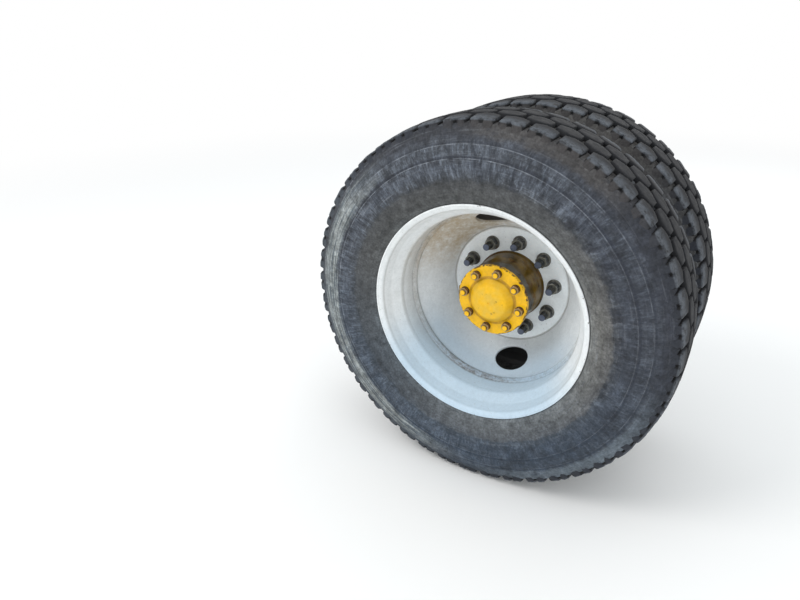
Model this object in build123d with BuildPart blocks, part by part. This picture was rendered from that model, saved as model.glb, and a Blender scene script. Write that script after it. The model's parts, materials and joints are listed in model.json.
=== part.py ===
from build123d import *
from math import cos, radians, sin, tan
import os

# Twin rear wheel of a heavy truck on the outer end of its driven axle, in millimetres.
# The wheel turns about the Y axis. -Y points out of the truck's side and +Y in along the
# axle, +X runs along the truck's side and +Z is up. The origin is the centre of the axle
# tube's inboard end. Angles are measured about the axle, from +X towards +Z.

# Clearances
tube_reach = 475.0          # tube's inboard end to the plane where the two discs meet
running_gap = 0.05          # radial clearance of the turning hub on its spindle
seat_gap = 0.2              # clearance of a piece that is clamped, welded or pressed home
turning_gap = 6.0           # space between the wheel and what stands still

# Rim, a 24.5 x 8.25 inch drop centre
seat_radius = 311.15        # bead seat at the foot of the flange
flange_height = 12.7
rim_width = 209.6           # between the two flanges
lip_width = 12.7            # flange and its curl, outside the rim width
lip_land = 5.0              # flat of the lip's edge
rim_wall = 5.5
seat_length = 33.0
seat_taper = 15.0           # degrees
well_drop = 29.15           # tyre side of the well, below the seat's foot
open_ramp = 34.0            # seat to well on the dish side
disc_ramp = 24.0            # seat to well on the disc side

# Disc, pressed from plate and welded in the well
disc_wall = 10.5
wheel_offset = 168.0        # rim centre to the disc's contact face
skirt_length = 20.0
pad_radius = 186.0          # flat bolting pad, on the contact side
pilot_radius = 110.4        # centre hole
stud_circle_radius = 142.875
stud_count = 10
first_stud_angle = 152.8
stud_hole_radius = 13.3
hand_hole_width = 108.0
hand_hole_height = 50.0     # seen along the axle
hand_hole_distance = 229.0
first_hand_hole_angle = 101.0

# Tyre, the outer surface at the top of its tread blocks
tread_radius = 549.0
tread_width = 231.0
section_width = 279.0
flank_inner_radius = 390.0  # sidewall's widest band
flank_outer_radius = 480.0
toe_inset = 29.0            # bead toe, in from the flange
tread_pitches = 44          # blocks in each of the four rows
tread_row = 57.0            # width of a middle row, to the middle of its ring grooves
tread_depth = 15.0
tread_groove = 13.0         # between the blocks of a row
ring_groove = 6.0           # between two rows
shoulder_depth = 18.0       # open ends of the outer rows' grooves

# Hub, one casting
hub_flange_radius = 162.0
hub_flange_wall = 20.0
hub_tail = 86.0             # hub flange to the hub's inboard end
hub_tail_radius = 96.0
hub_reach = 137.5           # contact plane to the hub's outboard face
barrel_radius = 105.5
pilot_pad_count = 10
pilot_pad_width = 30.0
pilot_length = 17.0         # pads, past the contact plane
spindle_radius = 50.0

# Brake drum
drum_radius = 209.55        # braking surface
drum_wall = 13.0
drum_depth = 239.0
drum_flange_wall = 11.0
drum_flange_radius = 172.0
drum_bell_start = 174.47    # radius from which the bell keeps beside the disc's slope
drum_band_wall = 25.0       # stiff band at the open edge
drum_band_width = 28.0

# Axle shaft, one forging with its flange
shaft_radius = 23.5
spline_radius = 25.4
spline_length = 64.0
spline_count = 33
spline_depth = 1.6
spline_gap = 2.4            # between two teeth
shaft_overhang = 70.0       # beyond the tube's inboard end
shaft_flange_radius = 109.5
shaft_flange_wall = 14.0
dome_radius = 72.0
dome_top_radius = 52.0
dome_height = 23.0
dome_crown = 3.0
flange_stud_circle_radius = 88.7
flange_stud_count = 8
first_flange_stud_angle = 126.2

# Studs and nuts
wheel_stud_radius = 11.0
wheel_stud_head_radius = 15.5
wheel_stud_head = 6.0
wheel_stud_stand = 54.5     # disc face to stud tip
wheel_nut_flats = 33.0
wheel_nut_height = 21.0
washer_radius = 22.5
washer_height = 5.5
flange_stud_radius = 8.0
flange_stud_stand = 24.0    # flange face to stud tip
flange_stud_depth = 36.0    # in the hub
flange_nut_flats = 24.0
flange_nut_height = 15.0

# Valve stems
first_valve_angle = 70.0
valve_radius = 4.0
valve_foot_length = 9.0     # on the tyre side of the rim
valve_rise = 20.0
valve_run = 46.0
valve_bend = 11.0
valve_nut_flats = 16.0
valve_nut_height = 6.0
valve_cap_radius = 5.6
valve_cap_length = 16.0

# Axle tube and spindle
tube_radius = 70.0
tube_wall = 14.0
tube_taper = 52.0           # from the tube down to the spindle
spindle_bore_radius = 31.0
spindle_inset = 20.0        # spindle's end, in from the hub's outboard face
brake_flange_radius = 104.0
brake_flange_wall = 18.0

# Brake spider
spider_wall = 22.0
spider_bolt_count = 8
spider_bolt_circle_radius = 87.0
spider_bolt_radius = 7.0
spider_bolt_flats = 21.0
spider_bolt_head = 9.0
cam_distance = 150.0        # camshaft bore from the axle's centre
cam_angle = 20.0
cam_bore_radius = 20.7
cam_boss_radius = 34.0
cam_boss_stand = 14.0       # past the dust shield
anchor_distance = 160.0
anchor_angle = 200.0
anchor_spread = 24.0        # degrees between the two anchor lobes
anchor_lobe_radius = 24.0

# Dust shields
shield_wall = 3.0
shield_overlap = 2.0        # past the drum's rim, all round
shield_lip = 14.0
shield_split = 3.0
shield_stand = 12.0         # shield to the spider's plate
shield_boss_radius = 14.0
shield_bolt_distance = 126.0
shield_bolt_angles = (55.0, 125.0, 235.0, 305.0)
shield_bolt_radius = 5.0
shield_bolt_flats = 15.0
shield_bolt_head = 6.5
shield_bolt_depth = 18.0

# Places along the axle
twin_y = -tube_reach
half_rim = rim_width / 2
well_radius = seat_radius - well_drop
lip_radius = seat_radius + flange_height
rim_length = rim_width + 2 * lip_width
rim_centre_y = twin_y - wheel_offset
dish_y = rim_centre_y - rim_length / 2
nut_face_y = twin_y - disc_wall
drum_face_y = twin_y + disc_wall
hub_face_y = drum_face_y + drum_flange_wall
hub_back_y = hub_face_y + hub_flange_wall
hub_inner_y = hub_back_y + hub_tail
hub_outer_y = twin_y - hub_reach
shaft_face_y = hub_outer_y - shaft_flange_wall
drum_open_y = drum_face_y + drum_depth
drum_outer_radius = drum_radius + drum_band_wall
shield_y = drum_open_y + turning_gap
spider_back_y = shield_y - shield_stand
spider_front_y = spider_back_y - spider_wall
brake_flange_y = spider_back_y + brake_flange_wall
spindle_y = hub_outer_y + spindle_inset
taper_y = hub_inner_y + turning_gap

# The inner wheel is the outer one, mirrored about the plane where their discs meet
twin_plane = Plane.XZ.offset(tube_reach)


def facing_out(y):
    """Plane square to the axle at that y, seen from the truck's side."""
    return Plane.XZ.offset(-y)


def corner_radius(flats):
    """Radius of a hexagon's corners from its width across flats."""
    return flats / 2 / cos(radians(30))


def seat_height(inset):
    """Radius of the bead seat, that far in from the foot of its flange."""
    return seat_radius - inset * tan(radians(seat_taper))


# Rim: one rolled strip from lip to lip, its well nearer the disc. Radius, then distance
# from the open lip
seat_foot = seat_height(seat_length)
seat_end = lip_width + seat_length
well_end = rim_length - seat_end - disc_ramp
rim_line = [
    (lip_radius, 0),
    (lip_radius, lip_land),
    (seat_radius, lip_width),
    (seat_foot, seat_end),
    (well_radius, seat_end + open_ramp),
    (well_radius, well_end),
    (seat_foot, rim_length - seat_end),
    (seat_radius, rim_length - lip_width),
    (lip_radius, rim_length - lip_land),
    (lip_radius, rim_length),
]
with BuildPart() as outer_rim:
    with BuildSketch(Plane.XY):
        with BuildLine():
            Polyline([(radius, dish_y + s) for radius, s in rim_line])
            offset(amount=rim_wall, side=Side.LEFT, kind=Kind.INTERSECTION)
        make_face()
    revolve(axis=Axis.Y)

# Disc: flat pad, straight slope and a cylindrical skirt inside the well. Radius, then
# distance out from the contact plane
skirt_radius = well_radius - rim_wall - seat_gap
slope_top = dish_y + well_end
disc_slope = (twin_y - slope_top) / (skirt_radius - pad_radius)
with BuildPart() as outer_disc:
    with BuildSketch(Plane.XY):
        with BuildLine():
            Polyline(
                (pilot_radius, twin_y),
                (pad_radius, twin_y),
                (skirt_radius, slope_top),
                (skirt_radius, slope_top - skirt_length),
            )
            offset(amount=disc_wall, side=Side.RIGHT, kind=Kind.INTERSECTION)
        make_face()
    revolve(axis=Axis.Y)
    with BuildSketch(facing_out(twin_y)):
        with PolarLocations(stud_circle_radius, stud_count, first_stud_angle):
            Circle(stud_hole_radius)
        with PolarLocations(hand_hole_distance, 2, first_hand_hole_angle):
            Ellipse(hand_hole_height / 2, hand_hole_width / 2)
    extrude(amount=wheel_offset, mode=Mode.SUBTRACT)

# Tyre: closed on its rim, with its beads on the seats. Radius, then distance from its middle
toe = (seat_height(toe_inset) + seat_gap, half_rim - toe_inset)
tyre_half = [
    toe,
    (seat_radius + seat_gap, half_rim - seat_gap),
    (lip_radius + seat_gap, half_rim + lip_width - lip_land - seat_gap),
    (flank_inner_radius, section_width / 2),
    (flank_outer_radius, section_width / 2),
    (tread_radius, tread_width / 2),
]
tyre_line = tyre_half + [(radius, -s) for radius, s in reversed(tyre_half)]
with BuildPart() as outer_tyre:
    with BuildSketch(Plane.XY):
        with BuildLine():
            Polyline([(radius, rim_centre_y + s) for radius, s in tyre_line], close=True)
        make_face()
    revolve(axis=Axis.Y)

# Tread: three ring grooves, and grooves across each row that are staggered from row to row
tread_rows = [  # from the tyre's middle to each row's start and end, stagger in pitches, depth
    (-tread_width, -tread_row, 0.0, shoulder_depth),
    (-tread_row, 0.0, 0.42, tread_depth),
    (0.0, tread_row, -0.08, tread_depth),
    (tread_row, tread_width, 0.38, shoulder_depth),
]
with outer_tyre:
    with BuildSketch(Plane.XY):
        with Locations((tread_radius, rim_centre_y)):
            with GridLocations(0, tread_row, 1, 3):
                Rectangle(2 * tread_depth, ring_groove)
    revolve(axis=Axis.Y, mode=Mode.SUBTRACT)
    for start, end, stagger, depth in tread_rows:
        with BuildSketch(facing_out(rim_centre_y + end)):
            with PolarLocations(tread_radius, tread_pitches, (stagger + 0.5) * 360 / tread_pitches):
                Rectangle(2 * depth, tread_groove)
        extrude(amount=end - start, mode=Mode.SUBTRACT)

# Valve stem: through the rim's disc side ramp, then bent along the axle
ramp = Vector(seat_foot - well_radius, disc_ramp).normalized()
inward = Vector(-ramp.Y, ramp.X)
ramp_middle = Vector((seat_foot + well_radius) / 2, dish_y + well_end + disc_ramp / 2)
valve_start = ramp_middle - inward * valve_foot_length
valve_turn = ramp_middle + inward * (rim_wall + valve_rise)
valve_end = valve_turn + Vector(0, valve_run)
angle = radians(first_valve_angle)
valve_plane = Plane(
    origin=(0, 0, 0), x_dir=(cos(angle), 0, sin(angle)), z_dir=(-sin(angle), 0, cos(angle))
)


def across_valve(point, direction):
    """Plane square to the stem at a point of its line."""
    return Plane(
        origin=valve_plane.from_local_coords(point),
        z_dir=valve_plane.from_local_coords(direction) - valve_plane.origin,
    )


with BuildPart() as valve_stem:
    with BuildLine(valve_plane) as stem_line:
        FilletPolyline(
            (valve_start.X, valve_start.Y),
            (valve_turn.X, valve_turn.Y),
            (valve_end.X, valve_end.Y),
            radius=valve_bend,
        )
    with BuildSketch(across_valve(valve_start, inward)):
        Circle(valve_radius)
    sweep(path=stem_line.line)
    with BuildSketch(across_valve(ramp_middle + inward * (rim_wall + seat_gap), inward)):
        RegularPolygon(corner_radius(valve_nut_flats), 6)
    extrude(amount=valve_nut_height)
    with BuildSketch(across_valve(valve_end, Vector(0, 1))):
        Circle(valve_cap_radius)
    extrude(amount=valve_cap_length)

with BuildPart(mode=Mode.PRIVATE) as valve_hole:
    with BuildSketch(across_valve(valve_start, inward)):
        Circle(valve_radius + seat_gap)
    extrude(amount=valve_foot_length + 2 * rim_wall)

with outer_rim:
    add(valve_hole.part, mode=Mode.SUBTRACT)

# The inner wheel, with its valve on the other side of the axle
with BuildPart() as inner_tyre:
    mirror(outer_tyre.part, about=twin_plane)
with BuildPart() as inner_disc:
    mirror(outer_disc.part, about=twin_plane)
with BuildPart() as inner_rim:
    mirror(outer_rim.part.rotate(Axis.Y, 180), about=twin_plane)
with BuildPart() as valve_stems:
    add(valve_stem.part)
    mirror(valve_stem.part.rotate(Axis.Y, 180), about=twin_plane)

# Hub: barrel, stud flange and the pads that centre the drum and both discs
pad_step = 360 / pilot_pad_count
first_pad_angle = first_stud_angle + pad_step / 2
with BuildPart() as hub:
    with BuildSketch(Plane.XY):
        with BuildLine():
            Polyline(
                (spindle_radius + running_gap, hub_inner_y),
                (hub_tail_radius, hub_inner_y),
                (hub_tail_radius, hub_back_y),
                (hub_flange_radius, hub_back_y),
                (hub_flange_radius, hub_face_y),
                (barrel_radius, hub_face_y),
                (barrel_radius, hub_outer_y),
                (spindle_radius + running_gap, hub_outer_y),
                close=True,
            )
        make_face()
    revolve(axis=Axis.Y)
    with BuildSketch(facing_out(hub_face_y)):
        with PolarLocations(barrel_radius, pilot_pad_count, first_pad_angle):
            Rectangle(pilot_pad_width, pilot_pad_width)
        Circle(pilot_radius - seat_gap, mode=Mode.INTERSECT)
        Circle(spindle_radius + running_gap, mode=Mode.SUBTRACT)
    extrude(amount=hub_face_y - twin_y + pilot_length)
    with BuildSketch(facing_out(hub_back_y)):
        with PolarLocations(stud_circle_radius, stud_count, first_stud_angle):
            Circle(wheel_stud_radius + seat_gap)
    extrude(amount=hub_flange_wall, mode=Mode.SUBTRACT)
    with BuildSketch(facing_out(hub_outer_y)):
        with PolarLocations(
            flange_stud_circle_radius, flange_stud_count, first_flange_stud_angle
        ):
            Circle(flange_stud_radius + seat_gap)
    extrude(amount=-flange_stud_depth - seat_gap, mode=Mode.SUBTRACT)

# Brake drum: flange between the hub and the inner disc, sloping bell, stiff open edge
drum_bell = (drum_radius + drum_wall - drum_bell_start) * disc_slope
with BuildPart() as brake_drum:
    with BuildSketch(Plane.XY):
        with BuildLine():
            Polyline(
                (pilot_radius, drum_face_y),
                (drum_flange_radius, drum_face_y),
                (drum_radius + drum_wall, drum_face_y + drum_bell),
                (drum_radius + drum_wall, drum_open_y - drum_band_width),
                (drum_outer_radius, drum_open_y - drum_band_width),
                (drum_outer_radius, drum_open_y),
                (drum_radius, drum_open_y),
                (drum_radius, drum_face_y + drum_bell),
                (drum_flange_radius - drum_wall / 2, hub_face_y),
                (pilot_radius, hub_face_y),
                close=True,
            )
        make_face()
    revolve(axis=Axis.Y)
    with BuildSketch(facing_out(hub_face_y)):
        with PolarLocations(stud_circle_radius, stud_count, first_stud_angle):
            Circle(wheel_stud_radius + seat_gap)
    extrude(amount=drum_flange_wall, mode=Mode.SUBTRACT)

# Axle shaft: domed flange on the hub's outboard face, and the shaft in through the tube to
# its splined end
spline_y = shaft_overhang - spline_length
with BuildPart() as axle_shaft:
    with BuildSketch(Plane.XY):
        with BuildLine():
            Polyline(
                (0, shaft_face_y - dome_height - dome_crown),
                (dome_top_radius, shaft_face_y - dome_height),
                (dome_radius, shaft_face_y),
                (shaft_flange_radius, shaft_face_y),
                (shaft_flange_radius, hub_outer_y),
                (shaft_radius, hub_outer_y),
                (shaft_radius, spline_y),
                (spline_radius, spline_y),
                (spline_radius, shaft_overhang),
                (0, shaft_overhang),
                close=True,
            )
        make_face()
    revolve(axis=Axis.Y)
    with BuildSketch(facing_out(hub_outer_y)):
        with PolarLocations(
            flange_stud_circle_radius, flange_stud_count, first_flange_stud_angle
        ):
            Circle(flange_stud_radius + seat_gap)
    extrude(amount=shaft_flange_wall, mode=Mode.SUBTRACT)
    with BuildSketch(facing_out(shaft_overhang)):
        with PolarLocations(spline_radius, spline_count):
            Rectangle(2 * spline_depth, spline_gap)
    extrude(amount=spline_length, mode=Mode.SUBTRACT)

# Wheel studs from behind the hub flange, and the nuts on the outer disc
with BuildPart() as wheel_studs:
    with BuildSketch(facing_out(hub_back_y)):
        with PolarLocations(stud_circle_radius, stud_count, first_stud_angle):
            Circle(wheel_stud_head_radius)
    extrude(amount=-wheel_stud_head)
    with BuildSketch(facing_out(hub_back_y)):
        with PolarLocations(stud_circle_radius, stud_count, first_stud_angle):
            Circle(wheel_stud_radius)
    extrude(amount=hub_back_y - nut_face_y + wheel_stud_stand)

with BuildPart() as wheel_nuts:
    with BuildSketch(facing_out(nut_face_y)):
        with PolarLocations(stud_circle_radius, stud_count, first_stud_angle):
            Circle(washer_radius)
            Circle(wheel_stud_radius + seat_gap, mode=Mode.SUBTRACT)
    extrude(amount=washer_height)
    with BuildSketch(facing_out(nut_face_y - washer_height)):
        with PolarLocations(stud_circle_radius, stud_count, first_stud_angle):
            RegularPolygon(corner_radius(wheel_nut_flats), 6)
            Circle(wheel_stud_radius + seat_gap, mode=Mode.SUBTRACT)
    extrude(amount=wheel_nut_height)

# Studs in the hub's end, and the nuts on the shaft's flange
with BuildPart() as flange_studs:
    with BuildSketch(facing_out(hub_outer_y + flange_stud_depth)):
        with PolarLocations(
            flange_stud_circle_radius, flange_stud_count, first_flange_stud_angle
        ):
            Circle(flange_stud_radius)
    extrude(amount=flange_stud_depth + shaft_flange_wall + flange_stud_stand)

with BuildPart() as flange_nuts:
    with BuildSketch(facing_out(shaft_face_y)):
        with PolarLocations(
            flange_stud_circle_radius, flange_stud_count, first_flange_stud_angle
        ):
            RegularPolygon(corner_radius(flange_nut_flats), 6)
            Circle(flange_stud_radius + seat_gap, mode=Mode.SUBTRACT)
    extrude(amount=flange_nut_height)

# Axle tube, drawn down to the spindle, with the brake's flange round it
tube_bore_radius = tube_radius - tube_wall
with BuildPart() as axle_tube:
    with BuildSketch(Plane.XY):
        with BuildLine():
            Polyline(
                (spindle_bore_radius, spindle_y),
                (spindle_radius, spindle_y),
                (spindle_radius, taper_y),
                (tube_radius, taper_y + tube_taper),
                (tube_radius, spider_back_y),
                (brake_flange_radius, spider_back_y),
                (brake_flange_radius, brake_flange_y),
                (tube_radius, brake_flange_y),
                (tube_radius, 0),
                (tube_bore_radius, 0),
                (tube_bore_radius, taper_y + tube_taper),
                (spindle_bore_radius, taper_y),
                close=True,
            )
        make_face()
    revolve(axis=Axis.Y)
    with BuildSketch(facing_out(brake_flange_y)):
        with PolarLocations(spider_bolt_circle_radius, spider_bolt_count):
            Circle(spider_bolt_radius + seat_gap)
    extrude(amount=brake_flange_wall, mode=Mode.SUBTRACT)

# Brake spider: a plate with a lobe for the camshaft and two for the shoes' anchors
cam_place = PolarLocations(cam_distance, 1, cam_angle)
shield_bolt_places = [
    PolarLocations(shield_bolt_distance, 1, bolt_angle) for bolt_angle in shield_bolt_angles
]
with BuildPart() as brake_spider:
    with BuildSketch(facing_out(spider_back_y)):
        Circle(brake_flange_radius)
        with PolarLocations(cam_distance / 2, 1, cam_angle):
            SlotCenterToCenter(cam_distance, 2 * cam_boss_radius)
        for side in (-1, 1):
            with PolarLocations(anchor_distance / 2, 1, anchor_angle + side * anchor_spread / 2):
                SlotCenterToCenter(anchor_distance, 2 * anchor_lobe_radius)
        for bolt_angle in shield_bolt_angles:
            with PolarLocations(shield_bolt_distance / 2, 1, bolt_angle):
                SlotCenterToCenter(shield_bolt_distance, 2 * shield_boss_radius)
        Circle(tube_radius + seat_gap, mode=Mode.SUBTRACT)
        with PolarLocations(spider_bolt_circle_radius, spider_bolt_count):
            Circle(spider_bolt_radius + seat_gap, mode=Mode.SUBTRACT)
    extrude(amount=spider_wall)
    with BuildSketch(facing_out(spider_back_y)):
        for place in shield_bolt_places:
            with place:
                Circle(shield_boss_radius)
    extrude(amount=-shield_stand + seat_gap)
    with BuildSketch(facing_out(spider_back_y)):
        with cam_place:
            Circle(cam_boss_radius)
    extrude(amount=-shield_stand - shield_wall - cam_boss_stand)
    with BuildSketch(facing_out(spider_front_y)):
        with cam_place:
            Circle(cam_bore_radius)
    extrude(amount=-spider_wall - shield_stand - shield_wall - cam_boss_stand,
            mode=Mode.SUBTRACT)
    with BuildSketch(facing_out(shield_y)):
        for place in shield_bolt_places:
            with place:
                Circle(shield_bolt_radius + seat_gap)
    extrude(amount=shield_bolt_depth + seat_gap, mode=Mode.SUBTRACT)

with BuildPart() as spider_bolts:
    with BuildSketch(facing_out(spider_front_y)):
        with PolarLocations(spider_bolt_circle_radius, spider_bolt_count):
            Circle(spider_bolt_radius)
    extrude(amount=spider_front_y - brake_flange_y)
    with BuildSketch(facing_out(brake_flange_y)):
        with PolarLocations(spider_bolt_circle_radius, spider_bolt_count):
            RegularPolygon(corner_radius(spider_bolt_flats), 6)
    extrude(amount=-spider_bolt_head)

# Dust shields: two pressed halves that close the drum's open side
shield_radius = drum_outer_radius + shield_overlap
with BuildPart() as dust_shields:
    with BuildSketch(facing_out(shield_y)):
        Circle(shield_radius)
        Circle(brake_flange_radius + turning_gap, mode=Mode.SUBTRACT)
        Rectangle(2 * shield_radius, shield_split, mode=Mode.SUBTRACT)
        with cam_place:
            Circle(cam_boss_radius + seat_gap, mode=Mode.SUBTRACT)
        for place in shield_bolt_places:
            with place:
                Circle(shield_bolt_radius + seat_gap, mode=Mode.SUBTRACT)
    extrude(amount=-shield_wall)
    with BuildSketch(facing_out(shield_y + shield_wall)):
        Circle(shield_radius)
        Circle(shield_radius - shield_wall, mode=Mode.SUBTRACT)
        Rectangle(2 * shield_radius, shield_split, mode=Mode.SUBTRACT)
    extrude(amount=-shield_lip)
shield_halves = dust_shields.solids().sort_by(Axis.Z)
lower_dust_shield = shield_halves[0]
upper_dust_shield = shield_halves[-1]

with BuildPart() as shield_bolts:
    with BuildSketch(facing_out(shield_y + shield_wall)):
        for place in shield_bolt_places:
            with place:
                RegularPolygon(corner_radius(shield_bolt_flats), 6)
    extrude(amount=-shield_bolt_head)
    with BuildSketch(facing_out(shield_y + shield_wall)):
        for place in shield_bolt_places:
            with place:
                Circle(shield_bolt_radius)
    extrude(amount=shield_bolt_depth)

pieces = {
    "outer_tyre": outer_tyre.part,
    "outer_rim": outer_rim.part,
    "outer_disc": outer_disc.part,
    "inner_tyre": inner_tyre.part,
    "inner_rim": inner_rim.part,
    "inner_disc": inner_disc.part,
    "valve_stems": valve_stems.part,
    "hub": hub.part,
    "brake_drum": brake_drum.part,
    "wheel_studs": wheel_studs.part,
    "wheel_nuts": wheel_nuts.part,
    "axle_shaft": axle_shaft.part,
    "flange_studs": flange_studs.part,
    "flange_nuts": flange_nuts.part,
    "axle_tube": axle_tube.part,
    "brake_spider": brake_spider.part,
    "spider_bolts": spider_bolts.part,
    "upper_dust_shield": upper_dust_shield,
    "lower_dust_shield": lower_dust_shield,
    "shield_bolts": shield_bolts.part,
}
os.makedirs("parts", exist_ok=True)
for name, piece in pieces.items():
    piece.label = name
    export_step(piece, f"parts/{name}.step")
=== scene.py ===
"""Twin rear wheel on the end of a truck's driven axle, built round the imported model.

Everything is in metres, in the model's own frame: -Y points out of the truck's side, +Y in
along the axle, +Z up. Radii are measured from the axle, and angles about it run from +X
towards +Z, in degrees. Comments call the +X side the front and the -X side the rear.
"""

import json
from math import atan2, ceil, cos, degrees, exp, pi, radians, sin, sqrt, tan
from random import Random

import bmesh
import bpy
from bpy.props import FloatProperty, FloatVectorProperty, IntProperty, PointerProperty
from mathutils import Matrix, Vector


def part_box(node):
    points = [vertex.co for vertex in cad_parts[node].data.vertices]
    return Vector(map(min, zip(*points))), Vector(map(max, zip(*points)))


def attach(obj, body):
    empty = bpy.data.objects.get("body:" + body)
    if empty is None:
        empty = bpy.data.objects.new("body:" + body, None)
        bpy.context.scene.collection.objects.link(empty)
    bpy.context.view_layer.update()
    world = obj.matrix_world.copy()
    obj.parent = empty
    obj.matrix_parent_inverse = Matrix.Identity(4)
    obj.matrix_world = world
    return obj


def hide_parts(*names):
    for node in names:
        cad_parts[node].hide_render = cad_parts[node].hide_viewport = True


bl_info = {
    "name": "Truck Twin Wheel End",
    "version": (1, 0, 0),
    "blender": (4, 5, 0),
    "location": "3D View > Sidebar > Wheel End",
    "description": "Tyres, rims, discs, hub, drum and axle end of a truck's twin rear wheel",
    "category": "Object",
}

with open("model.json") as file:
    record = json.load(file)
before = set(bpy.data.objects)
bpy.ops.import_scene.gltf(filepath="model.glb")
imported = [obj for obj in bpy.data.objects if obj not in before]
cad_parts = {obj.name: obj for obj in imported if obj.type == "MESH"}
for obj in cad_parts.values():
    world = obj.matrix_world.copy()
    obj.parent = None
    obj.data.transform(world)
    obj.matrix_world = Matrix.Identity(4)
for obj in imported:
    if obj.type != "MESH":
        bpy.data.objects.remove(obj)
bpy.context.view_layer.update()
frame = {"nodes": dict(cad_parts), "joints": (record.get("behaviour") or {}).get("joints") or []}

# Places along the axle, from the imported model
TWIN_Y = frame["joints"][0]["pos_m"][1]
DISH_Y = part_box("outer_rim")[0].y
HUB_END_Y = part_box("hub")[0].y
HUB_TAIL_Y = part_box("hub")[1].y
DRUM_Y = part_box("brake_drum")[0].y
DRUM_OPEN_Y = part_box("brake_drum")[1].y
SHAFT_END_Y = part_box("axle_shaft")[1].y
TYRE_Y = (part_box("outer_tyre")[0].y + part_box("outer_tyre")[1].y) / 2

RING = 264  # points round the axle on large turned pieces, six to each tread pitch
WHEEL_STUDS = 10
FLANGE_STUDS = 8


def linear(red, green, blue):
    """Linear colour from red, green and blue of 0 to 255 as a screen shows them."""
    shares = [value / 255 for value in (red, green, blue)]
    return tuple(s / 12.92 if s <= 0.04045 else ((s + 0.055) / 1.055) ** 2.4 for s in shares)


# Sizes and colours that a user may change


def length(name, description, default):
    """A size in metres."""
    return FloatProperty(name=name, description=description, default=default, unit="LENGTH")


def colour(name, description, *shown):
    """A colour, given as a screen shows it."""
    return FloatVectorProperty(
        name=name, description=description, default=linear(*shown), subtype="COLOR",
        size=3, min=0.0, max=1.0,
    )


class TyreSizes(bpy.types.PropertyGroup):
    """Sizes of a tyre, the same for both"""

    tread_radius: length("Tread radius", "Axle to the top of the middle blocks", 0.5488)
    crown_drop: length("Crown drop", "How far the shoulders lie below the middle", 0.0085)
    groove_depth: length("Groove depth", "Depth of the grooves between blocks", 0.0150)
    half_section: length("Half section", "Middle of the tyre to its widest point", 0.1393)
    half_tread: length("Half tread", "Middle of the tyre to the shoulder's edge", 0.1140)
    groove: length("Groove width", "Width of the grooves across the tread", 0.0130)
    pitches: IntProperty(name="Pitches", description="Blocks in each row", default=44, min=8)


class WheelSizes(bpy.types.PropertyGroup):
    """Sizes of a rim and its disc, the same for both"""

    lip_radius: length("Lip radius", "Axle to the rim's edge", 0.32365)
    seat_radius: length("Seat radius", "Bead seat at the foot of the flange", 0.31115)
    well_radius: length("Well radius", "Tyre side of the well", 0.2820)
    rim_length: length("Rim length", "From lip to lip", 0.2350)
    rim_wall: length("Rim wall", "Thickness of the rolled strip", 0.0055)
    disc_wall: length("Disc wall", "Thickness of the pressed disc", 0.0105)
    pad_radius: length("Pad radius", "Edge of the flat pad round the hub", 0.1855)
    pilot_radius: length("Pilot radius", "Centre hole of the disc", 0.1104)
    hole_distance: length("Hand hole distance", "Axle to the middle of a hand hole", 0.2290)
    hole_width: length("Hand hole width", "Hand hole, across the radius", 0.1080)
    hole_height: length("Hand hole height", "Hand hole, along the radius", 0.0500)
    hole_angle: FloatProperty(
        name="Hand hole angle", description="Place of the first hand hole, in degrees",
        default=101.0,
    )


class HubSizes(bpy.types.PropertyGroup):
    """Sizes of the hub's barrel, the shaft's flange and the stud circles"""

    barrel_radius: length("Barrel radius", "Outside of the hub's barrel", 0.1055)
    flange_radius: length("Shaft flange radius", "Edge of the axle shaft's flange", 0.1095)
    flange_wall: length("Shaft flange wall", "Thickness of the shaft's flange", 0.0140)
    dome_radius: length("Dome radius", "Foot of the dome on the flange", 0.0720)
    dome_top: length("Dome top radius", "Where the dome's side turns into its top", 0.0520)
    dome_height: length("Dome height", "Flange to the edge of the dome's top", 0.0230)
    dome_crown: length("Dome crown", "Rise of the dome's top", 0.0030)
    shaft_radius: length("Shaft radius", "Bar of the axle shaft", 0.0235)
    stud_circle: length("Stud circle", "Radius of the wheel stud circle", 0.142875)
    stud_angle: FloatProperty(name="First stud", description="In degrees", default=152.8)
    cap_circle: length("Flange stud circle", "Radius of the flange stud circle", 0.0887)
    cap_angle: FloatProperty(name="First flange stud", description="In degrees", default=126.2)


class NutSizes(bpy.types.PropertyGroup):
    """Sizes of the studs, nuts and washers"""

    wheel_flats: length("Wheel nut flats", "Width across flats", 0.0330)
    wheel_height: length("Wheel nut height", "Height of the hexagon", 0.0210)
    washer_radius: length("Washer radius", "Foot of the washer under a wheel nut", 0.0225)
    washer_height: length("Washer height", "Height of that washer", 0.0055)
    wheel_stud: length("Wheel stud radius", "Thread of a wheel stud", 0.0110)
    wheel_stand: length("Wheel stud stand", "Disc to the stud's tip", 0.0543)
    flange_flats: length("Flange nut flats", "Width across flats", 0.0240)
    flange_height: length("Flange nut height", "Height of the nut", 0.0150)
    flange_stud: length("Flange stud radius", "Thread of a flange stud", 0.0078)
    flange_stand: length("Flange stud stand", "Flange to the stud's tip", 0.0215)


class DrumSizes(bpy.types.PropertyGroup):
    """Sizes of the brake drum"""

    inside: length("Inside radius", "Braking surface", 0.20955)
    wall: length("Wall", "Wall of the drum", 0.0130)
    band_wall: length("Band wall", "Wall of the band at the open edge", 0.0250)
    band_width: length("Band width", "Width of that band", 0.0280)
    face_wall: length("Face wall", "Thickness of the face that is bolted on", 0.0110)


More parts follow.
